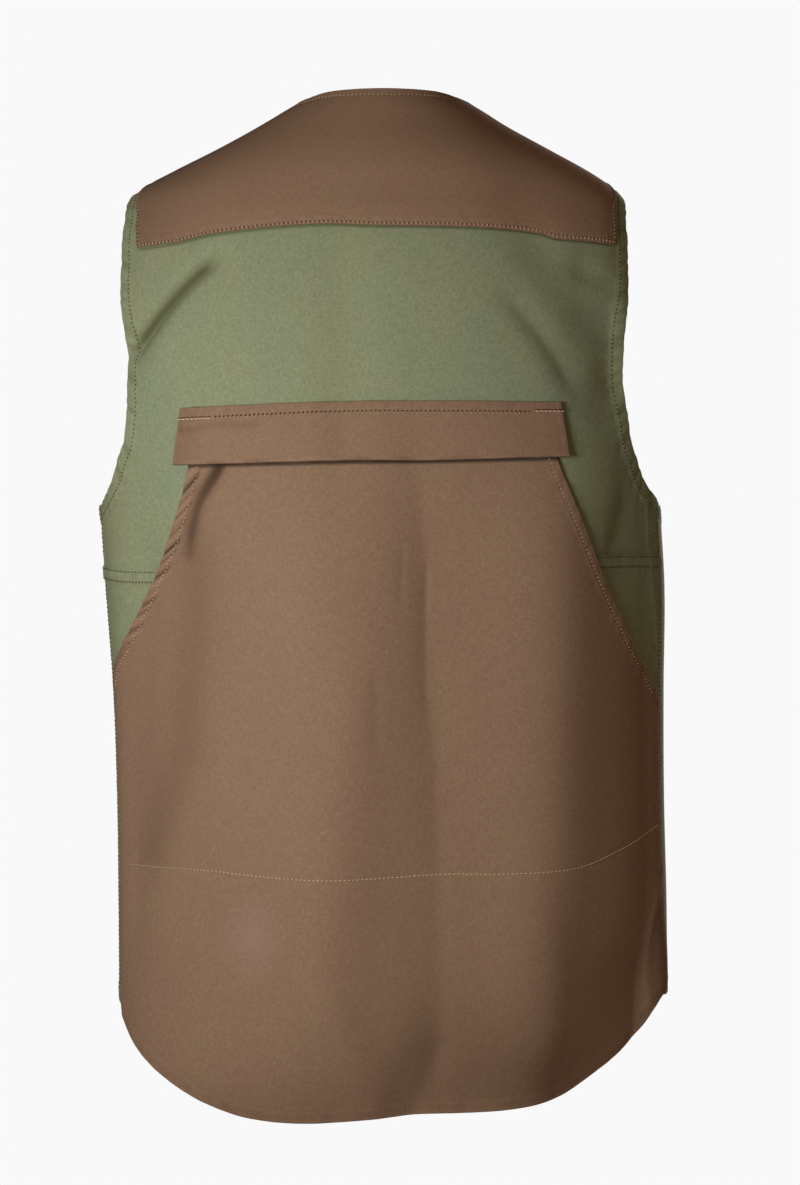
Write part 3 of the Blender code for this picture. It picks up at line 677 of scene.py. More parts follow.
def sewn(
    name, rows, finish, slot, seed, length=2.3, thread=0.7, slant=14.0, lift=0.16, shift=0.0, pitch=STITCH
):
    """One object with every stitch of these rows. A row is a layer and a line of angles and heights.

    Each stitch is a bead of this length and thread width, at a slant to its row and raised by the lift.
    """
    points, normals, links = [], [], []
    for layer, line in rows:
        run = travelled(on_form(line))
        even = np.linspace(shift, run[-1], max(int(run[-1] / 1.1), 2))
        line = read_at(even, run, line)
        first = len(points)
        normal = layer.normal(line)
        points.extend(layer.face(line) + normal * lift)
        normals.extend(normal)
        links.extend((first + step, first + step + 1) for step in range(len(line) - 1))
    guide_mesh = bpy.data.meshes.new(name + "_line")
    guide_mesh.from_pydata(np.array(points) * METRES, links, [])
    guide_mesh.attributes.new("outward", "FLOAT_VECTOR", "POINT").data.foreach_set(
        "vector", np.array(normals, np.float32).ravel()
    )
    guide = bpy.data.objects.new(name + "_line", guide_mesh)
    bpy.context.scene.collection.objects.link(guide)
    modifier = guide.modifiers.new("stitches", "NODES")
    modifier.node_group = stitches
    values = {
        "Pitch": pitch * METRES,
        "Length": length * METRES,
        "Thread": thread * METRES,
        "Slant": math.radians(slant),
        "Seed": seed,
        "Finish": finish,
    }
    for item in stitches.interface.items_tree:
        if item.name in values:
            modifier[item.identifier] = values[item.name]
    depsgraph = bpy.context.evaluated_depsgraph_get()
    mesh = bpy.data.meshes.new_from_object(guide.evaluated_get(depsgraph))
    mesh.name = name
    bpy.data.objects.remove(guide, do_unlink=True)
    return placed(name, mesh)


def thread_finish(name, tone, deep):
    """Twisted cotton thread, a little uneven in tone."""
    made = Finish(name, Roughness=0.75, Specular_IOR_Level=0.3)
    place = made.node("ShaderNodeTexCoord", None, None, "Object")
    tone_noise = made.noise(place, 900.0)
    made.to_shader("Base Color", made.mix(tone_noise, (*deep, 1.0), (*tone, 1.0)))
    return made.material


green_thread = thread_finish("green thread", (0.32, 0.35, 0.17), (0.19, 0.20, 0.09))
# Needle holes in the green: dark beads between the stitches, as painted shade.
green_hole = thread_finish("needle holes in green", (0.045, 0.042, 0.018), (0.03, 0.028, 0.012))


def cut_to(line, low, high):
    """The part of a line between two shares of its length."""
    return by_length(line)(np.linspace(low, high, 200))


BACK_ARMHOLE = [
    (75, -297), (66.8, -284), (62.7, -269), (58.6, -252), (57, -218), (59.2, -181), (62.4, -150),
    (66.2, -111), (70.5, -89), (79, -72), (90, -65), (102, -67), SHOULDER_TIP,
]
YOKE_CORNER = 7  # the knot of the back's armhole at which the yoke's lower edge meets it
NECK_EDGE = [NECK_SIDE, (90, -2.5), (64, 0.4), (44, 3.7), (22, 4.8), (0, 5.2)]
YOKE_EDGE = [(-58, -113.8), (-44.6, -111.8), (-36, -107.5), (-23.6, -102.6), (-10.5, -100.2), (0, -101.3)]
YOKE_EDGE += [(11.7, -101.6), (26.3, -102.6), (36.6, -105), (41, -108.4), (49.9, -109.2), (60.1, -110.6)]

armhole = curve_through([(RIGHT_SEAM, RIGHT_UNDERARM), (72, -293), *BACK_ARMHOLE[1:]])
armhole[:, 0] += 2.0 * soft(armhole[:, 1] + 232.0, 42.0)  # it is cut a little shallower halfway down
left_armhole = mirrored(curve_through([(-LEFT_SEAM, UNDERARM), *BACK_ARMHOLE]))
yoke_corner = (YOKE_CORNER + 1) * CURVE_STEPS
armhole_below, armhole_above = armhole[: yoke_corner + 1], armhole[yoke_corner:]
shoulder_seam = curve_through([SHOULDER_TIP, NECK_SIDE])
neck_half = curve_through(NECK_EDGE)
neck_edge = np.vstack([mirrored(neck_half), neck_half[::-1][1:]])
back_top = np.vstack([mirrored(shoulder_seam), neck_edge[1:-1], shoulder_seam[::-1]])
yoke_line = curve_through([mirrored(armhole_below[-1]), *YOKE_EDGE, armhole_below[-1]])


def top_by_strips(curve):
    """The back's top edge, whose two ends beside the yoke are as wide as the armhole strips."""
    whole = travelled(on_form(curve))[-1]
    seam = travelled(on_form(shoulder_seam))[-1] / whole
    strips = [0.0, ARMHOLE_STRIP, 0.25, 0.75, 1.0 - ARMHOLE_STRIP, 1.0]
    lengths = [0.0, YOKE_SIDE * seam, seam, 1.0 - seam, 1.0 - YOKE_SIDE * seam, 1.0]
    read = by_length(curve)
    return lambda across: read(np.interp(across, strips, lengths))


def seam_line(angle, low, high):
    return np.array([[angle, z] for z in np.linspace(low, high, 20)])


def inset(line, distance):
    """A line on the form that runs beside another one, to its left where the distance is positive."""
    line = line[np.concatenate([[True], np.linalg.norm(np.diff(line, axis=0), axis=1) > 1e-6])]
    for _ in range(4):
        points = on_form(line)
        along = np.gradient(points, axis=0)
        along /= np.linalg.norm(along, axis=1, keepdims=True)
        step = np.cross(outward(line), along) * distance / 4.0
        by_turn = (on_form(line + TURN_STEP) - on_form(line - TURN_STEP)) / (2.0 * TURN_STEP[0])
        by_rise = (on_form(line + RISE_STEP) - on_form(line - RISE_STEP)) / (2.0 * RISE_STEP[1])
        tt, rr = (by_turn**2).sum(1), (by_rise**2).sum(1)
        tr = (by_turn * by_rise).sum(1)
        st, sr = (step * by_turn).sum(1), (step * by_rise).sum(1)
        size = tt * rr - tr**2
        line = line + np.stack([(st * rr - sr * tr) / size, (sr * tt - st * tr) / size], axis=1)
    return line


# The lower back laps over the upper one in a felled seam, which slants a little.
FELL_LINE = [(LEFT_SEAM, -346.7), (-52, -350.8), (0, -346), (49, -339.8), (RIGHT_SEAM, -339.2)]
FELL_WIDTH = 10.0
FELL_RISE = 1.2
FELL_ROWS = (1.5, 9.0)
SIDE_WIDTH = 8.5
SIDE_ROWS = (1.6, 7.6)
CORNER_TOP = -590.0  # where the pocket's brown corner starts to cover the right side seam
fell_line = curve_through(FELL_LINE)
upper_foot = fell_line - np.array([0.0, FELL_WIDTH - 2.0])
left_side = np.vstack([seam_line(LEFT_SEAM, upper_foot[0, 1], UNDERARM), left_armhole[1 : yoke_corner + 1]])
right_side = np.vstack([seam_line(RIGHT_SEAM, upper_foot[-1, 1], armhole[0, 1]), armhole_below[1:]])
back_across = shares(440.0, 2.15)
below_yoke = panel(
    by_angle(upper_foot),
    by_angle(yoke_line),
    by_length(left_side),
    by_length(right_side),
    back_across,
    shares(250.0, 2.15, start=False),
)
under_yoke_edges = (
    by_angle(yoke_line),
    top_by_strips(back_top),
    by_length(mirrored(armhole_above)),
    by_length(armhole_above),
)
under_yoke = panel(*under_yoke_edges, back_across, shares(130.0, 3.4, start=False))
upper_grid = np.vstack([below_yoke, under_yoke[1:]])

left_seam = seam_line(LEFT_SEAM, -680.0, UNDERARM)
right_seam = seam_line(RIGHT_SEAM, -680.0, armhole[0, 1])
RIGHT_RIDGE = [(68.6, -299), (69.2, -330), (70.2, -362), (73.4, -392), (74.2, -430), (74.2, -500)]
ARMHOLE_ROW = 9.5
right_ridge = curve_through(RIGHT_RIDGE)
armhole_turns = [
    Turning(armhole, 11.5, 0.7, 0.5, 12.0, 0.5, 0.5, 11, rows=(ARMHOLE_ROW,)),
    Turning(left_armhole, 11.5, 0.7, 0.5, 12.0, 0.5, 0.5, 12, rows=(ARMHOLE_ROW,)),
]
side_turns = [
    Turning(left_seam, SIDE_WIDTH, FELL_RISE, 0.18, 11.0, 0.3, 0.8, 13, rows=SIDE_ROWS),
    Turning(right_seam, 3.0, 0.6, 0.18, 11.0, 0.3, 0.8, 14, rows=SIDE_ROWS[:1]),
    Turning(right_ridge, 2.2, 0.6, 0.0, 11.0, 0.3, 0.5, 15),
]
# A painted shadow line on the green back just below the yoke's lower edge, between its corners.
beside_yoke = (yoke_line[:, 0] > -57.5) & (yoke_line[:, 0] < 59.5)
yoke_shade = Turning(yoke_line[beside_yoke], 0.5, 0.0, 0.0, 10.0, 0.3, -1.0, 16)
upper_layer = Layer(0.0, [*armhole_turns, *side_turns, yoke_shade])
back_upper = shell("back_upper", upper_grid, upper_layer, green_canvas)


def side_rows(layer, low, high):
    """The two rows that hold each side seam, between two heights."""
    ridge = right_ridge[(right_ridge[:, 1] > low) & (right_ridge[:, 1] < high)]
    rows = [(layer, inset(seam_line(LEFT_SEAM, low, high), -row)) for row in SIDE_ROWS]
    right = seam_line(RIGHT_SEAM, max(low, CORNER_TOP), high)
    return [*rows, (layer, inset(right, SIDE_ROWS[0])), (layer, ridge)]


GREEN_HOLES = {"length": 1.5, "thread": 1.25, "slant": 40.0, "lift": 0.1, "shift": HALF}
armhole_rows = [
    (upper_layer, inset(cut_to(armhole, 0.01, 0.99), ARMHOLE_ROW)),
    (upper_layer, inset(cut_to(left_armhole, 0.01, 0.99), -ARMHOLE_ROW)),
]
upper_rows = armhole_rows + side_rows(upper_layer, -338.0, -305.0)
upper_stitches = sewn("back_upper_stitches", upper_rows, green_thread, "green_canvas", 1)
upper_holes = sewn("back_upper_needle_holes", upper_rows, green_hole, "green_canvas", 2, **GREEN_HOLES)

# Lower back. Green canvas from the felled seam to the rounded tail, almost all of it under the game
# pocket. Its upper edge is folded in, laid over the upper back and sewn down with two rows.
HEM = [
    (LEFT_SEAM, -670), (-73.7, -686.5), (-62.3, -706.8), (-50.7, -725.8), (-41, -740.2),
    (-30.4, -750.6), (-17.8, -753.2), (-2.6, -749), (6.5, -747.2), (24.9, -745), (38.4, -738),
    (50, -721.5), (60, -706), (68.2, -691.5), (73, -677.5), (RIGHT_SEAM, -668.5),
]
hem = curve_through(HEM)
lower_grid = panel(
    by_angle(hem),
    by_angle(fell_line),
    by_length(seam_line(LEFT_SEAM, hem[0, 1], fell_line[0, 1])),
    by_length(seam_line(RIGHT_SEAM, hem[-1, 1], fell_line[-1, 1])),
    shares(500.0, 3.4),
    shares(390.0, 3.4),
)
fell_turn = Turning(fell_line, FELL_WIDTH, FELL_RISE, 0.2, 12.0, 0.3, 0.6, 21, rows=FELL_ROWS)
hem_turn = Turning(hem, 11.0, 0.4, 0.15, 19.0, 0.2, 0.8, 22)
lower_layer = Layer(0.0, [*side_turns, fell_turn, hem_turn])
back_lower = shell("back_lower", lower_grid, lower_layer, green_canvas)
fell_rows = [(lower_layer, inset(cut_to(fell_line, 0.01, 0.99), -row)) for row in FELL_ROWS]
lower_rows = fell_rows + side_rows(lower_layer, -665.0, -362.0)
lower_stitches = sewn("back_lower_stitches", lower_rows, green_thread, "green_canvas", 3)
lower_holes = sewn("back_lower_needle_holes", lower_rows, green_hole, "green_canvas", 4, **GREEN_HOLES)

# Fronts. Two plain panels of green canvas, which meet the back at the shoulders and sides. Their
# edges are turned and topstitched, and the left one laps over the right one under five buttons.
LAP = 17.0  # how far each front reaches past the middle
LAP_LIFT = 2.2
LAP_CLEAR = 38.0  # how far from the middle, on its own side, the left front is still wholly raised
LAP_RAMP = 18.0  # the width over which the lift then ends
FRONT_FROM = 135.0  # the angle past which a place can be in the lap
V_BOTTOM = -232.0
V_BEND = 1.5  # 1 would be a straight edge
FRONT_HEM = -668.0
NECK_SIDE_X = 68.0
EDGE_ROW = 5.5
HEM_ROW = 11.0
SIDE_UNDER = 3.6  # degrees that a front runs on under the back's side edge
FRONT_ARMHOLE = [
    (95, -304.5), (107, -299), (117, -283), (124.5, -256), (129, -225), (130.5, -190),
    (129.5, -150), (126.5, -118), (121.5, -93), SHOULDER_TIP,
]
CHEST_CORNER = 3  # the knot of the front's armhole from which the chest line runs to the V's foot
RIGHT_START = [(RIGHT_SEAM, RIGHT_UNDERARM), (82.5, -302.9)]
LEFT_START = [(-LEFT_SEAM, UNDERARM)]


def front_angle(x, z):
    """The front's angle at distance x to the wearer's right of the lap's middle, over 180 past it."""
    height = np.array([float(z)])
    return 180.0 - float(angle_at(x + eased("centre_x", height), height)[0])


def v_neck():
    """The free edge of a front from the foot of the V to the neck side."""
    edge = []
    for share in np.linspace(1.0, 0.0, 48):
        x = NECK_SIDE_X - (NECK_SIDE_X + LAP) * share**V_BEND
        z = NECK_SIDE[1] + (V_BOTTOM - NECK_SIDE[1]) * share
        edge.append((front_angle(x, z), z))
    edge[-1] = NECK_SIDE
    return np.array(edge)


def front_edges(seam_angle, start):
    """The lines of the right front: its armhole, V, lap edge and hem."""
    armhole_line = curve_through([*start, *FRONT_ARMHOLE])
    lap = np.array([(front_angle(-LAP, z), z) for z in np.linspace(FRONT_HEM, V_BOTTOM, 60)])
    foot = np.stack([np.linspace(seam_angle, lap[0, 0], 60), np.full(60, FRONT_HEM)], axis=1)
    return armhole_line, v_neck(), lap, foot


def front_grid(seam_angle, armhole_line, neck, lap):
    """The right front in two grids made one: hem to chest line, and on up beside the armhole."""
    corner = len(armhole_line) - 1 - CURVE_STEPS * (len(FRONT_ARMHOLE) - 1 - CHEST_CORNER)
    under_arm, beside_arm = armhole_line[: corner + 1], armhole_line[corner:]
    under_width, beside_width = 90.0, 190.0
    whole_width = under_width + beside_width
    under_steps = shares(under_width, 3.2, end=False)
    beside_steps = shares(beside_width, 3.2)
    chest = by_length(np.array([armhole_line[corner], neck[0]]))
    side = seam_angle - SIDE_UNDER
    side_top = armhole_line[0, 1] + 2.0
    under_arm = np.vstack([[side, side_top], under_arm[1:]])
    across = np.concatenate([under_steps * under_width, under_width + beside_steps[1:] * beside_width])
    across /= whole_width
    top_points = np.vstack([by_length(under_arm)(under_steps), chest(beside_steps)[1:]])
    lower = panel(
        by_angle(np.array([[side, FRONT_HEM], lap[0]])),
        lambda at: read_at(at, across, top_points),
        by_length(seam_line(side, FRONT_HEM, side_top)),
        by_length(lap),
        across,
        shares(420.0, 3.2),
    )
    upper_edges = (chest, by_length(shoulder_seam), by_length(beside_arm), by_length(neck))
    upper = panel(*upper_edges, beside_steps, shares(220.0, 3.2))
    whole = np.full((len(lower) + len(upper) - 1, len(across), 2), np.nan)
    whole[: len(lower)] = lower
    whole[len(lower) :, len(under_steps) - 1 :] = upper[1:]
    return whole


def lapped(place):
    """How far the left front rises near the middle, where it laps over the right one."""
    x = on_form(place)[..., 0] - eased("centre_x", place[..., 1])
    share = held(x / LAP_RAMP + 1.0 + LAP_CLEAR / LAP_RAMP)
    share = np.where(place[..., 0] < -FRONT_FROM, share, 0.0)
    return LAP_LIFT * share**2 * (3.0 - 2.0 * share)


def front_turns(lines, seed):
    armhole_line, neck, lap, foot = lines
    return [
        Turning(armhole_line, 11.5, 0.45, 0.4, 13.0, 0.5, 0.6, seed, rows=(ARMHOLE_ROW,)),
        Turning(neck, 11.0, 0.45, 0.25, 14.0, 0.4, 0.8, seed + 1, rows=(EDGE_ROW,)),
        Turning(lap, 11.0, 0.45, 0.2, 15.0, 0.3, 0.8, seed + 2, rows=(EDGE_ROW,)),
        Turning(foot, 13.0, 0.45, 0.2, 15.0, 0.3, 0.8, seed + 3, rows=(HEM_ROW,)),
    ]


right_lines = front_edges(RIGHT_SEAM, RIGHT_START)
right_grid = front_grid(RIGHT_SEAM, *right_lines[:3])
right_layer = Layer(0.0, front_turns(right_lines, 31))
front_right = shell("front_right", right_grid, right_layer, green_canvas)
turned_lines = front_edges(-LEFT_SEAM, LEFT_START)
left_lines = [mirrored(line) for line in turned_lines]
left_grid = mirrored(front_grid(-LEFT_SEAM, *turned_lines[:3])[:, ::-1])
left_layer = Layer(lapped, front_turns(left_lines, 41))
front_left = shell("front_left", left_grid, left_layer, green_canvas)
BUTTON_HEIGHTS = (-256.0, -348.0, -440.0, -532.0, -624.0)


def on_left_front(x, z):
    """The place on the left front at distance x to the wearer's right of its middle line."""
    return (-front_angle(-x, z), z)


hole_edges, hole_slits = [], []
for height in BUTTON_HEIGHTS:
    for side in (-1.15, 1.15):
        line = [on_left_front(x, height + side) for x in np.linspace(2.0, -15.0, 20)]
        hole_edges.append((left_layer, np.array(line)))
    line = [on_left_front(x, height) for x in np.linspace(1.0, -14.0, 20)]
    hole_slits.append((left_layer, np.array(line)))
    line = [on_left_front(-15.6, height + rise) for rise in np.linspace(-1.9, 1.9, 12)]
    hole_edges.append((left_layer, np.array(line)))
FRONT_HOLES = {"length": 1.3, "thread": 1.0, "slant": 40.0, "lift": 0.08, "shift": HALF}
row_insets = (-ARMHOLE_ROW, EDGE_ROW, EDGE_ROW, HEM_ROW)
row_ends = (0.985, 0.97, 1.0, 1.0)
right_rows, left_rows = [], []
for right_line, left_line, distance, end in zip(right_lines, left_lines, row_insets, row_ends):
    right_rows.append((right_layer, inset(cut_to(right_line, 0.0, end), distance)))
    left_rows.append((left_layer, inset(cut_to(left_line, 0.0, end), -distance)))
right_stitches = sewn("front_right_stitches", right_rows, green_thread, "green_canvas", 5)
right_holes = sewn("front_right_needle_holes", right_rows, green_hole, "green_canvas", 27, **FRONT_HOLES)
left_stitches = sewn("front_left_stitches", left_rows, green_thread, "green_canvas", 6)
left_holes = sewn("front_left_needle_holes", left_rows, green_hole, "green_canvas", 7, **FRONT_HOLES)
EDGE_STITCH = {"length": 1.9, "thread": 0.5, "slant": 88.0, "lift": 0.25, "pitch": 0.6}
hole_stitches = sewn("buttonholes", hole_edges, green_thread, "green_canvas", 8, **EDGE_STITCH)
# Each buttonhole's slit is a row of dark beads: painted shade.
SLIT = {"length": 2.4, "thread": 0.6, "slant": 0.0, "lift": 0.2, "pitch": 1.2}
slits = sewn("buttonhole_slits", hole_slits, green_hole, "green_canvas", 9, **SLIT)

# Yoke. Brown canvas laid over the shoulders, its lower edge folded in and sewn down to the green back
# with a light thread. It stops short of the armholes, whose green edges show beside it.
LAY_ON = 2.1
# The yoke's brown is a little lighter than the pocket's: painted light on the yoke.
BROWN = (0.243, 0.151, 0.0885)
BROWN_PALE = (0.33, 0.219, 0.139)
BROWN_DEEP = (0.118, 0.069, 0.039)
BROWN_PATCH = (0.241, 0.144, 0.0885)
brown_canvas = canvas("brown canvas", BROWN, BROWN_PALE, BROWN_DEEP, BROWN_PATCH, 0.75)

YOKE_LEFT = [(-58, -112.6), (-60.3, -100), (-64.7, -83), (-74, -70), (-87, -63.5), (-101, -66)]
YOKE_RIGHT = [(60.1, -110.8), (61.7, -98), (65, -82), (74, -70), (87, -62.5), (101, -65.5)]
yoke_foot = curve_through(YOKE_EDGE)
NECK_ROW = 5.3
seam_part = by_length(shoulder_seam)(np.linspace(YOKE_SIDE, 1.0, 80))
yoke_left = curve_through([*YOKE_LEFT, mirrored(seam_part[0])])
yoke_sides = [yoke_left, curve_through([*YOKE_RIGHT, seam_part[0]])]
yoke_top = np.vstack([mirrored(seam_part), neck_edge[1:-1], seam_part[::-1]])
yoke_grid = panel(
    by_angle(yoke_foot),
    by_length(yoke_top),
    by_length(yoke_sides[0]),
    by_length(yoke_sides[1]),
    shares(400.0, 2.6),
    shares(130.0, 2.6),
)
# The yoke's foot and sides carry a thin painted shade along their edges; its neck edge is worn pale.
yoke_turns = [
    Turning(yoke_foot, 8.0, 0.3, 0.14, 10.0, 0.3, -0.5, 51, sink=0.6, sink_width=9.0),
    Turning(yoke_sides[0], 6.0, 0.2, 0.14, 9.0, 0.3, -0.5, 52, sink=0.9, sink_width=7.0),
    Turning(yoke_sides[1], 6.0, 0.2, 0.14, 9.0, 0.3, -0.5, 53, sink=0.9, sink_width=7.0),
    Turning(yoke_top, 6.0, 0.25, 0.12, 10.0, 0.3, 0.4, 54, rows=(NECK_ROW,), sink=0.8, sink_width=8.0),
]


def yoke_shades(place, points):
    """Painted shade on the yoke: darker at its left end and beside the neck."""
    left_end = held((-118.0 - points[..., 0]) / 55.0)
    by_neck = held((points[..., 2] + 62.0) / 30.0) * (points[..., 1] < 0.0)
    return np.zeros(place.shape[:-1]), -0.6 * left_end - 0.35 * by_neck


yoke_layer = Layer(LAY_ON, yoke_turns, yoke_shades)
yoke = shell("yoke", yoke_grid, yoke_layer, brown_canvas, over_shoulder)
khaki_thread = thread_finish("khaki thread", (0.62, 0.46, 0.29), (0.42, 0.29, 0.17))
worn_thread = thread_finish("worn khaki thread", (0.40, 0.27, 0.17), (0.30, 0.20, 0.12))
# Needle holes in the brown, deep and shallow: dark beads between the stitches, as painted shade.
brown_hole = thread_finish("needle holes in brown", (0.055, 0.032, 0.018), (0.035, 0.021, 0.012))
shallow_hole_shade = thread_finish("shallow needle holes", (0.12, 0.058, 0.033), (0.085, 0.042, 0.024))
yoke_row = [(yoke_layer, inset(cut_to(yoke_foot, 0.01, 0.99), 2.1))]
yoke_side_rows = [
    (yoke_layer, inset(cut_to(yoke_sides[0], 0.02, 0.98), -2.0)),
    (yoke_layer, inset(cut_to(yoke_sides[1], 0.02, 0.98), 2.0)),
]
neck_rows = [(yoke_layer, inset(cut_to(yoke_top, 0.03, 0.97), -NECK_ROW))]
FOOT_STITCH = {"length": 2.4, "thread": 1.3, "slant": 80.0, "lift": 0.1}
yoke_stitches = sewn("yoke_stitches", yoke_row, worn_thread, "brown_canvas", 10, **FOOT_STITCH)
SIDE_STITCH = {"length": 2.0, "thread": 1.0, "slant": 60.0, "lift": 0.1}
side_stitches = sewn("yoke_side_stitches", yoke_side_rows, worn_thread, "brown_canvas", 20, **SIDE_STITCH)
neck_stitches = sewn("neck_stitches", neck_rows, khaki_thread, "brown_canvas", 11, length=1.7, thread=0.6)
YOKE_HOLES = {"length": 2.0, "thread": 1.1, "slant": 80.0, "lift": 0.05, "shift": HALF}
holed_rows = yoke_row + yoke_side_rows
yoke_holes = sewn("yoke_needle_holes", holed_rows, shallow_hole_shade, "brown_canvas", 12, **YOKE_HOLES)

# Game pocket. Brown canvas over the whole lower back, caught in the side seams and the hem. Its two
# upper sides are open, turned and topstitched, and a row across it closes the bag's foot.
POCKET_SIDES = [
    (-140, 117, -232), (-140.5, 119, -250), (-142, 125, -276), (-154, 143, -320),
    (-170.2, 160, -357.5), (-192.5, 183, -401), (-199.5, 196, -424),
]
MOUTH_FOOT = -446.0
LEFT_MOUTH_ROW = 8.0
RIGHT_MOUTH_ROW = 6.5
ROPING_FOOT = -398.0
POCKET_LEFT_SEAM = -79.0
POCKET_RIGHT_SEAM = 75.0
POCKET_CORNER = (84, -662)
POCKET_FOOT = [
    (-189.5, -569.5), (-134, -570), (-90, -573), (-47, -575), (-15, -574.2), (40, -571.6),
    (84, -571.5), (127, -569.3), (149, -565.5), (174, -556.7), (203, -541),
]


def back_places(points):
    """Angles and heights of points given by x and z, seen from behind."""
    points = np.array(points, float)
    return np.stack([angle_at(points[:, 0], points[:, 1]), points[:, 1]], axis=1)


mouth_knots = np.array(POCKET_SIDES, float)[::-1]
left_mouth = curve_through([(POCKET_LEFT_SEAM, MOUTH_FOOT), *back_places(mouth_knots[:, [0, 2]])])
right_mouth = curve_through([(POCKET_RIGHT_SEAM, MOUTH_FOOT), *back_places(mouth_knots[:, [1, 2]])])
pocket_top = np.linspace(left_mouth[-1], right_mouth[-1], 40)
pocket_hem = curve_through([*HEM[:-1], (77, -667), POCKET_CORNER])
pocket_hem = pocket_hem[pocket_hem[:, 0] > POCKET_LEFT_SEAM]
pocket_hem[0, 0] = POCKET_LEFT_SEAM
pocket_left_seam = seam_line(POCKET_LEFT_SEAM, pocket_hem[0, 1], MOUTH_FOOT)
from_corner = [POCKET_CORNER, (81, -640), (76.5, -600)]
up_seam = [(POCKET_RIGHT_SEAM, -540), (POCKET_RIGHT_SEAM, MOUTH_FOOT)]
pocket_right_seam = curve_through(from_corner + up_seam)
pocket_left = np.vstack([pocket_left_seam, left_mouth[1:]])
pocket_right = np.vstack([pocket_right_seam, right_mouth[1:]])
pocket_grid = panel(
    by_angle(pocket_hem),
    by_angle(pocket_top),
    by_length(pocket_left),
    by_length(pocket_right),
    shares(470.0, 2.7),
    shares(480.0, 2.7),
)
pocket_foot = curve_through(back_places(POCKET_FOOT))
roped_mouth = left_mouth[left_mouth[:, 1] > ROPING_FOOT]
pocket_turns = [
    Turning(left_mouth, 9.5, 0.6, 0.1, 12.3, -1.7, 0.3, 60, rows=(LEFT_MOUTH_ROW,)),
    Turning(roped_mouth, 9.5, 0.0, 1.1, 12.3, -1.7, 0.0, 61),
    Turning(right_mouth, 9.0, 0.5, 0.25, 12.3, 0.8, 0.9, 62, rows=(RIGHT_MOUTH_ROW,)),
    Turning(pocket_left_seam, 2.0, 0.0, 0.1, 17.0, 0.3, 0.6, 63, sink=0.9, sink_width=6.0),
    Turning(pocket_right_seam, 2.0, 0.0, 0.1, 17.0, 0.3, 0.6, 64, sink=0.9, sink_width=6.0),
    Turning(pocket_hem, 9.0, 0.3, 0.15, 19.0, 0.2, 0.6, 65, sink=0.8, sink_width=8.0),
    Turning(pocket_top, 4.0, 0.0, 0.0, 19.0, 0.2, 0.0, 66, sink=1.6, sink_width=12.0),
]
PRESS_MARKS = [[(42, -454), (72, -442), (104, -425)], [(47, -523), (66, -508), (85, -487)]]
press_lines = [curve_through(back_places(mark)) for mark in PRESS_MARKS]
HOLLOW = [(-116, -266), (-121.5, -280), (-133.5, -301), (-139, -322), (-141, -340)]
SHADE = [(-138, -330), (-136, -372), (-143, -445), (-148, -482), (-163, -532), (-171, -556)]
TUCK = [(206.5, -570), (203.5, -597), (201.5, -625), (202.5, -650), (204, -675)]
hollow_line, shade_line, tuck_line = (curve_through(back_places(line)) for line in (HOLLOW, SHADE, TUCK))


def beside(points, line):
    """Each point's distance from a line of angles and heights."""
    return near(points, on_form(line))[0]


def pocket_creases(place, points):
    """The pocket's own creases and marks.

    The foot row pulls, the felled seam shows through, and there are two press marks, a hollow beside the
    left mouth that runs out in a soft shade, a small tuck low beside the right seam and a shaded tail.
    """
    foot, along = near(points, on_form(pocket_foot))
    pull = -0.35 * soft(foot, 1.6)
    pull += 0.12 * ripple(along, 11.0, 67) * soft(foot, 7.0)
    through = beside(points, fell_line - np.array([0.0, 5.0]))
    pull += 0.28 * soft(through, 4.5)
    for line in press_lines:
        pull -= 0.3 * soft(beside(points, line), 3.0)
    from_hollow, down = near(points, on_form(hollow_line))
    hollow = soft(from_hollow, 5.0) * held(1.1 - down / 95.0)
    foot_share = held((-392.0 - place[..., 1]) / 30.0)
    tuck = np.interp(place[..., 1], tuck_line[::-1, 1], tuck_line[::-1, 0])
    beyond = held((place[..., 0] - tuck) / 2.5)
    beyond *= held((-572.0 - place[..., 1]) / 30.0)
    # Painted shade: in the hollow, in a band at the foot of the left mouth, along the soft shade line,
    # beyond the tuck and in two patches on the tail.
    wear_and_shade = -2.1 * hollow - 0.75 * foot_share * np.exp(-((beside(points, left_mouth) / 6.5) ** 4))
    wear_and_shade -= 0.5 * soft(beside(points, shade_line), 18.0) + 0.5 * beyond
    for x, wide, dark in ((48.0, 58.0, 0.4), (26.0, 13.0, 0.3)):
        from_middle = ((points[..., 0] - x) / wide) ** 2
        wear_and_shade -= dark * np.exp(-from_middle - ((points[..., 2] + 700.0) / 42.0) ** 2)
    return pull - 1.9 * hollow - 0.4 * beyond + 0.6 * soft(beside(points, tuck_line), 2.2), wear_and_shade


def rubbed_and_shadowed(made, colour, u, v):
    """A pale, slightly pink spot rubbed low on the left, and a painted shadow line along the flap's free
    edge.
    """
    spot = made.vector((u + 106.0) / 28.0, (v + 617.0) / 38.0)
    away = made.node("ShaderNodeVectorMath", {"operation": "LENGTH"}, {0: spot}, "Value")
    colour = made.mix((1.0 - away).clamped() * 0.26, colour, (0.33, 0.235, 0.19, 1.0))
    # The painted shadow line lies just below the flap's free edge, dark and a little uneven.
    uneven = made.noise(made.vector(u, v, 5.0), 0.05)
    below = (u + 10.0) * ((u + 10.0) * 0.00004 + 0.017) - 272.8 - v + uneven * 0.8 - 0.4
    line = (1.5 - below * 0.5).clamped() * (below + 1.0).clamped()
    along = (151.0 - (u + 9.0).maths("ABSOLUTE")).clamped()
    return made.mix(line * along * (0.7 + uneven * 0.3), colour, (0.03, 0.017, 0.01, 1.0))
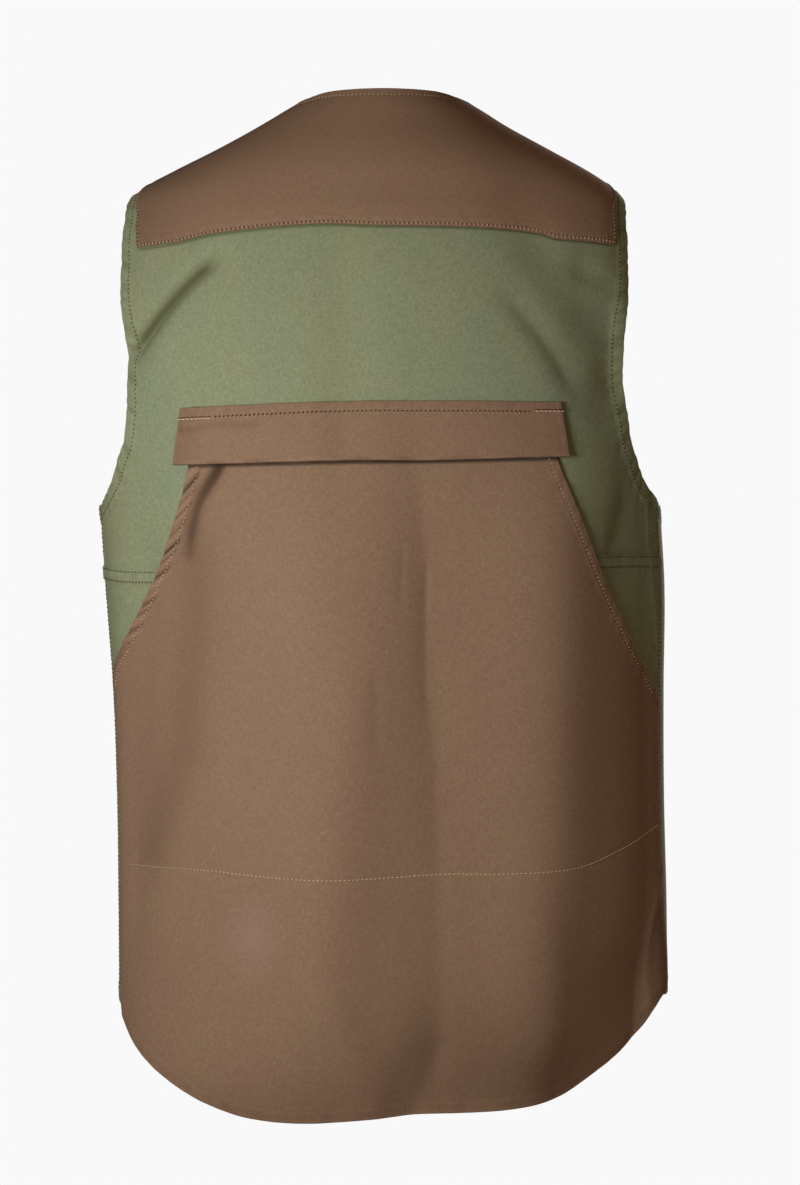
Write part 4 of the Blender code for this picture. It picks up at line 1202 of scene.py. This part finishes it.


# The pocket and flap take a slightly darker copy of the yoke's brown: painted shade on them.
POCKET_BROWN = (0.226, 0.1405, 0.0823)
POCKET_BROWN_PATCH = (0.224, 0.134, 0.0823)
pocket_tones = (POCKET_BROWN, BROWN_PALE, BROWN_DEEP, POCKET_BROWN_PATCH)
pocket_canvas = canvas("brown canvas of the pocket", *pocket_tones, 0.75, rubbed_and_shadowed)
pocket_layer = Layer(LAY_ON, pocket_turns, pocket_creases)
game_pocket = shell("game_pocket", pocket_grid, pocket_layer, pocket_canvas)
mouth_rows = [
    (pocket_layer, inset(cut_to(left_mouth, 0.05, 1.0), -LEFT_MOUTH_ROW)),
    (pocket_layer, inset(cut_to(right_mouth, 0.05, 1.0), RIGHT_MOUTH_ROW)),
]
foot_rows = [(pocket_layer, pocket_foot)]
pocket_rows = mouth_rows + foot_rows
MOUTH_STITCH = {"length": 1.7, "thread": 0.75, "slant": 14.0, "lift": 0.3}
mouth_stitches = sewn("pocket_mouth_stitches", mouth_rows, khaki_thread, "brown_canvas", 13, **MOUTH_STITCH)
LONG_STITCH = {"length": 2.7, "thread": 0.75, "slant": 8.0, "lift": 0.24}
foot_stitches = sewn("pocket_foot_stitches", foot_rows, khaki_thread, "brown_canvas", 14, **LONG_STITCH)
POCKET_HOLES = {"length": 0.9, "thread": 0.75, "slant": 40.0, "lift": 0.05, "shift": HALF}
pocket_holes = sewn("pocket_needle_holes", pocket_rows, brown_hole, "brown_canvas", 15, **POCKET_HOLES)

# Pocket flap. A long narrow strip of brown canvas over the pocket's top edge. Its upper edge is sewn
# down with one row and a short bar at each end, and its lower edge hangs free.
FLAP_TOP = [(-147.2, -233), (-10, -229), (126.5, -229)]
FLAP_FOOT = [(-151.6, -274.2), (-10, -272.8), (131.3, -269.2)]
flap_top = curve_through(back_places(curve_through(FLAP_TOP, 8)), 4)
flap_foot = curve_through(back_places(curve_through(FLAP_FOOT, 8)), 4)
flap_left = np.linspace(flap_foot[0], flap_top[0], 30)
flap_right = np.linspace(flap_foot[-1], flap_top[-1], 30)
flap_grid = panel(
    by_angle(flap_foot),
    by_angle(flap_top),
    by_length(flap_left),
    by_length(flap_right),
    shares(290.0, 2.2),
    shares(42.0, 1.6),
)


def flap_stand(place):
    """The flap's inner face: down by its stitches, and standing off the pocket at its free edge."""
    hang = np.clip((-229.0 - place[..., 1]) / 43.0, 0.0, 1.2)
    from_end = np.minimum(place[..., 0] - flap_left[0, 0], flap_right[0, 0] - place[..., 0])
    return 2.6 + (2.2 + 2.0 * held(from_end / 12.0)) * hang**0.8


flap_turns = [
    Turning(flap_top, 6.0, 0.5, 0.16, 9.0, 0.3, 0.3, 71, sink=0.3, sink_width=3.0),
    # The free edge's negative tone is a thin painted shade.
    Turning(flap_foot, 3.0, 0.2, 0.45, 46.0, 0.2, -0.2, 72),
    Turning(flap_left, 4.0, 0.25, 0.1, 20.0, 0.2, 0.5, 73),
    Turning(flap_right, 4.0, 0.25, 0.1, 20.0, 0.2, 0.5, 74),
]
flap_pull = curve_through(back_places([(-152, -249), (-140, -248.5), (-124, -245.5), (-92, -245)]))


def flap_creases(place, points):
    """A soft crease under the left end of the stitches, and slight waves along the strip."""
    pull = soft(beside(points, flap_pull), 2.6)
    left_end = held((-126.0 - points[..., 0]) / 22.0)
    # The crease and the strip's left end get painted shade.
    return 0.35 * ripple(points[..., 0], 58.0, 75) - 0.9 * pull, -0.35 * pull - 0.45 * left_end


flap_layer = Layer(flap_stand, flap_turns, flap_creases)
pocket_flap = shell("pocket_flap", flap_grid, flap_layer, pocket_canvas)
flap_row = cut_to(flap_top, 0.10, 0.91)
light_row = [(flap_layer, inset(flap_row, -8.2))]
hole_row = [(flap_layer, inset(flap_row, -7.5))]
FLAP_STITCH = {"length": 2.3, "thread": 1.1, "slant": 62.0, "lift": 0.15, "shift": HALF}
flap_stitches = sewn("flap_stitches", light_row, worn_thread, "brown_canvas", 16, **FLAP_STITCH)
FLAP_HOLES = {"length": 1.75, "thread": 1.5, "slant": 30.0, "lift": 0.1}
flap_holes = sewn("flap_needle_holes", hole_row, brown_hole, "brown_canvas", 17, **FLAP_HOLES)
BARS = [((-147.0, -241.4), (-126.0, -240.8)), ((109.5, -236.0), (127.5, -236.0))]
bar_rows = [(flap_layer, back_places(np.linspace(*ends, 20))) for ends in BARS]
# Dark beads just above each bar tack: painted shade.
shade_rows = [(flap_layer, row + np.array([0.0, 1.3])) for _, row in bar_rows]
BAR_STITCH = {"length": 3.8, "thread": 1.0, "slant": 0.0, "lift": 0.35}
bars = sewn("flap_bar_tacks", bar_rows, khaki_thread, "brown_canvas", 18, **BAR_STITCH)
BAR_HOLES = {"length": 3.8, "thread": 0.8, "slant": 0.0, "lift": 0.05}
bar_holes = sewn("flap_bar_holes", shade_rows, brown_hole, "brown_canvas", 19, **BAR_HOLES)

# Buttons. Five four-hole buttons of dark horn, dished inside a rounded rim. Each comes through its
# buttonhole in the left front, and is sewn to the right one with two bars of green thread.
BUTTON_RADIUS = 7.5
HOLE_RADIUS = 0.85
HOLE_OFFSET = 1.9
DISH = 0.62  # how far the dished middle stands in front of the button's middle plane
HALF_THICK = 1.3
RIM_PROFILE = [
    (5.2, DISH), (5.45, 0.74), (5.75, 1.06), (6.1, 1.25), (6.5, HALF_THICK), (6.95, 1.2),
    (7.28, 0.92), (7.46, 0.52), (BUTTON_RADIUS, 0.1), (BUTTON_RADIUS, -0.45), (7.38, -0.9), (7.1, -1.18),
    (6.7, -HALF_THICK), (5.0, -HALF_THICK), (3.0, -HALF_THICK), (1.0, -HALF_THICK),
]
horn = Finish("dark horn", Specular_IOR_Level=0.5)
horn_place = horn.node("ShaderNodeTexCoord", None, None, "Object")
streak = horn.noise(horn_place, 160.0, 4.0)
horn.to_shader("Base Color", horn.mix(streak, (0.028, 0.016, 0.010, 1.0), (0.10, 0.06, 0.035, 1.0)))
horn.to_shader("Roughness", 0.3 + streak * 0.2)


def closed_piece(name, points, faces, finish, slot):
    """An object from a closed mesh, its faces turned outwards."""
    mesh = bpy.data.meshes.new(name)
    mesh.from_pydata([tuple(point) for point in points], [], faces)
    shape = bmesh.new()
    shape.from_mesh(mesh)
    bmesh.ops.recalc_face_normals(shape, faces=shape.faces)
    shape.to_mesh(mesh)
    shape.free()
    mesh.shade_smooth()
    mesh.materials.append(finish)
    return placed(name, mesh)


def horn_button(middle):
    """Points and faces of a button that faces the front, around its middle in metres."""
    sides = 56
    rings = [(radius, DISH) for radius in np.arange(0.3, 5.0, 0.25)] + RIM_PROFILE
    points = [(0.0, DISH, 0.0)]
    for radius, height in rings:
        for step in range(sides):
            x = radius * math.cos(2.0 * math.pi * step / sides)
            z = radius * math.sin(2.0 * math.pi * step / sides)
            away = math.hypot(abs(x) - HOLE_OFFSET, abs(z) - HOLE_OFFSET)
            sunk = held((HOLE_RADIUS + 0.15 - away) / 0.3) if height > 0.5 else 0.0
            points.append((x, height - HALF_THICK * sunk, z))
    points.append((0.0, -HALF_THICK, 0.0))
    faces = [(0, 1 + step, 1 + (step + 1) % sides) for step in range(sides)]
    for ring in range(len(rings) - 1):
        for step in range(sides):
            a, b = 1 + ring * sides + step, 1 + ring * sides + (step + 1) % sides
            faces.append((a, b, b + sides, a + sides))
    last = 1 + (len(rings) - 1) * sides
    faces += [(last + step, last + (step + 1) % sides, len(points) - 1) for step in range(sides)]
    return np.array(points) * METRES + middle, faces


def strand(start, end, radius, arch):
    """A round thread from one point to another, arched a little towards the front."""
    points, faces, sides, steps = [], [], 6, 9
    for step in range(steps):
        share = step / (steps - 1)
        place = start + (end - start) * share
        place = place + np.array([0.0, arch * math.sin(math.pi * share) ** 0.5, 0.0])
        for side in range(sides):
            turn = 2.0 * math.pi * side / sides
            points.append(place + radius * np.array([math.cos(turn), math.sin(turn), 0.0]))
    for step in range(steps - 1):
        for side in range(sides):
            a, b = step * sides + side, step * sides + (side + 1) % sides
            faces.append((a, b, b + sides, a + sides))
    faces.append(tuple(range(sides)))
    faces.append(tuple(range((steps - 1) * sides, steps * sides)))
    return points, faces


for number in range(1, len(BUTTON_HEIGHTS) + 1):
    low, high = (np.array(corner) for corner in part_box(f"button_{number}"))
    middle = 0.5 * (low + high)
    button = closed_piece(f"horn_button_{number}", *horn_button(middle), horn.material, "button")
    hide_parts(f"button_{number}")
    thread_points, thread_faces = [], []
    for x in (-HOLE_OFFSET, HOLE_OFFSET):
        for aside in (-0.3, 0.05, 0.35):
            start = middle + np.array([x + aside, 0.3, -HOLE_OFFSET]) * METRES
            end = middle + np.array([x + aside * 0.8, 0.3, HOLE_OFFSET]) * METRES
            points, faces = strand(start, end, 0.24 * METRES, (0.75 - abs(aside) * 0.5) * METRES)
            first = len(thread_points)
            thread_points += points
            thread_faces += [tuple(first + index for index in face) for face in faces]
    closed_piece(f"button_thread_{number}", thread_points, thread_faces, green_thread, "green_canvas")

# Plain pale floor and soft studio light. The floor lies as far down as the wearer's feet would.
PALE = (0.955, 0.945, 0.955, 1.0)
floor_mesh = bpy.data.meshes.new("floor")
reach, floor_below = 60.0, -1.45
corners = [(-reach, -reach), (reach, -reach), (reach, reach), (-reach, reach)]
floor_mesh.from_pydata([(x, y, floor_below) for x, y in corners], [], [(0, 1, 2, 3)])
floor = bpy.data.objects.new("floor", floor_mesh)
bpy.context.scene.collection.objects.link(floor)
floor_finish = Finish("pale floor", Base_Color=(0.62, 0.58, 0.55, 1.0), Roughness=0.9)
seen = floor_finish.node("ShaderNodeLightPath")
glow = floor_finish.node("ShaderNodeEmission", None, {"Color": PALE})
floor_shader = Value(floor_finish, floor_finish.shader.outputs[0])
floor_look = floor_finish.node("ShaderNodeMixShader", None, {0: seen, 1: floor_shader, 2: glow})
floor_output = floor_finish.tree.nodes["Material Output"]
floor_finish.tree.links.new(floor_look.socket, floor_output.inputs["Surface"])
floor_mesh.materials.append(floor_finish.material)
floor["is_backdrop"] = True

camera = bpy.data.objects.new("camera", bpy.data.cameras.new("camera"))
bpy.context.scene.collection.objects.link(camera)
camera.location = (0.0113, -3.0, -0.3673)
camera.rotation_euler = (math.radians(90.0), 0.0, 0.0)
camera.data.sensor_fit = "VERTICAL"
camera.data.sensor_height = 36.0
camera.data.lens = 36.0 * 3.0 / (1185 * 0.000755)  # so that a pixel is 0.755 mm at 3 m
camera.data.clip_end = 500.0
bpy.context.scene.camera = camera

middle = Vector((0.0, 0.0, -0.37))


def lamp(name, place, size, watts, colour):
    """A soft square lamp turned to the middle of the garment."""
    light = bpy.data.objects.new(name, bpy.data.lights.new(name, "AREA"))
    light.data.size = size
    light.data.energy = watts
    light.data.color = colour
    light.location = place
    light.rotation_euler = (middle - light.location).to_track_quat("-Z", "Y").to_euler()
    light.visible_camera = False
    bpy.context.scene.collection.objects.link(light)


lamp("key", (-0.47, -0.92, -0.305), 0.32, 8.75, (0.97, 1.0, 1.05))
lamp("front_light", (1.1, 1.9, 0.2), 0.9, 30.0, (1.0, 1.0, 1.0))

world = bpy.data.worlds.new("world")
bpy.context.scene.world = world
world.use_nodes = True
sky = world.node_tree
background = sky.nodes["Background"]
background.inputs["Color"].default_value = (1.0, 0.70, 0.48, 1.0)
background.inputs["Strength"].default_value = 0.215
seen_sky = sky.nodes.new("ShaderNodeBackground")
seen_sky.inputs["Color"].default_value = PALE
light_path = sky.nodes.new("ShaderNodeLightPath")
either = sky.nodes.new("ShaderNodeMixShader")
sky.links.new(light_path.outputs["Is Camera Ray"], either.inputs[0])
sky.links.new(background.outputs[0], either.inputs[1])
sky.links.new(seen_sky.outputs[0], either.inputs[2])
sky.links.new(either.outputs[0], sky.nodes["World Output"].inputs["Surface"])
bpy.context.scene.view_settings.view_transform = "Standard"

low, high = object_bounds()
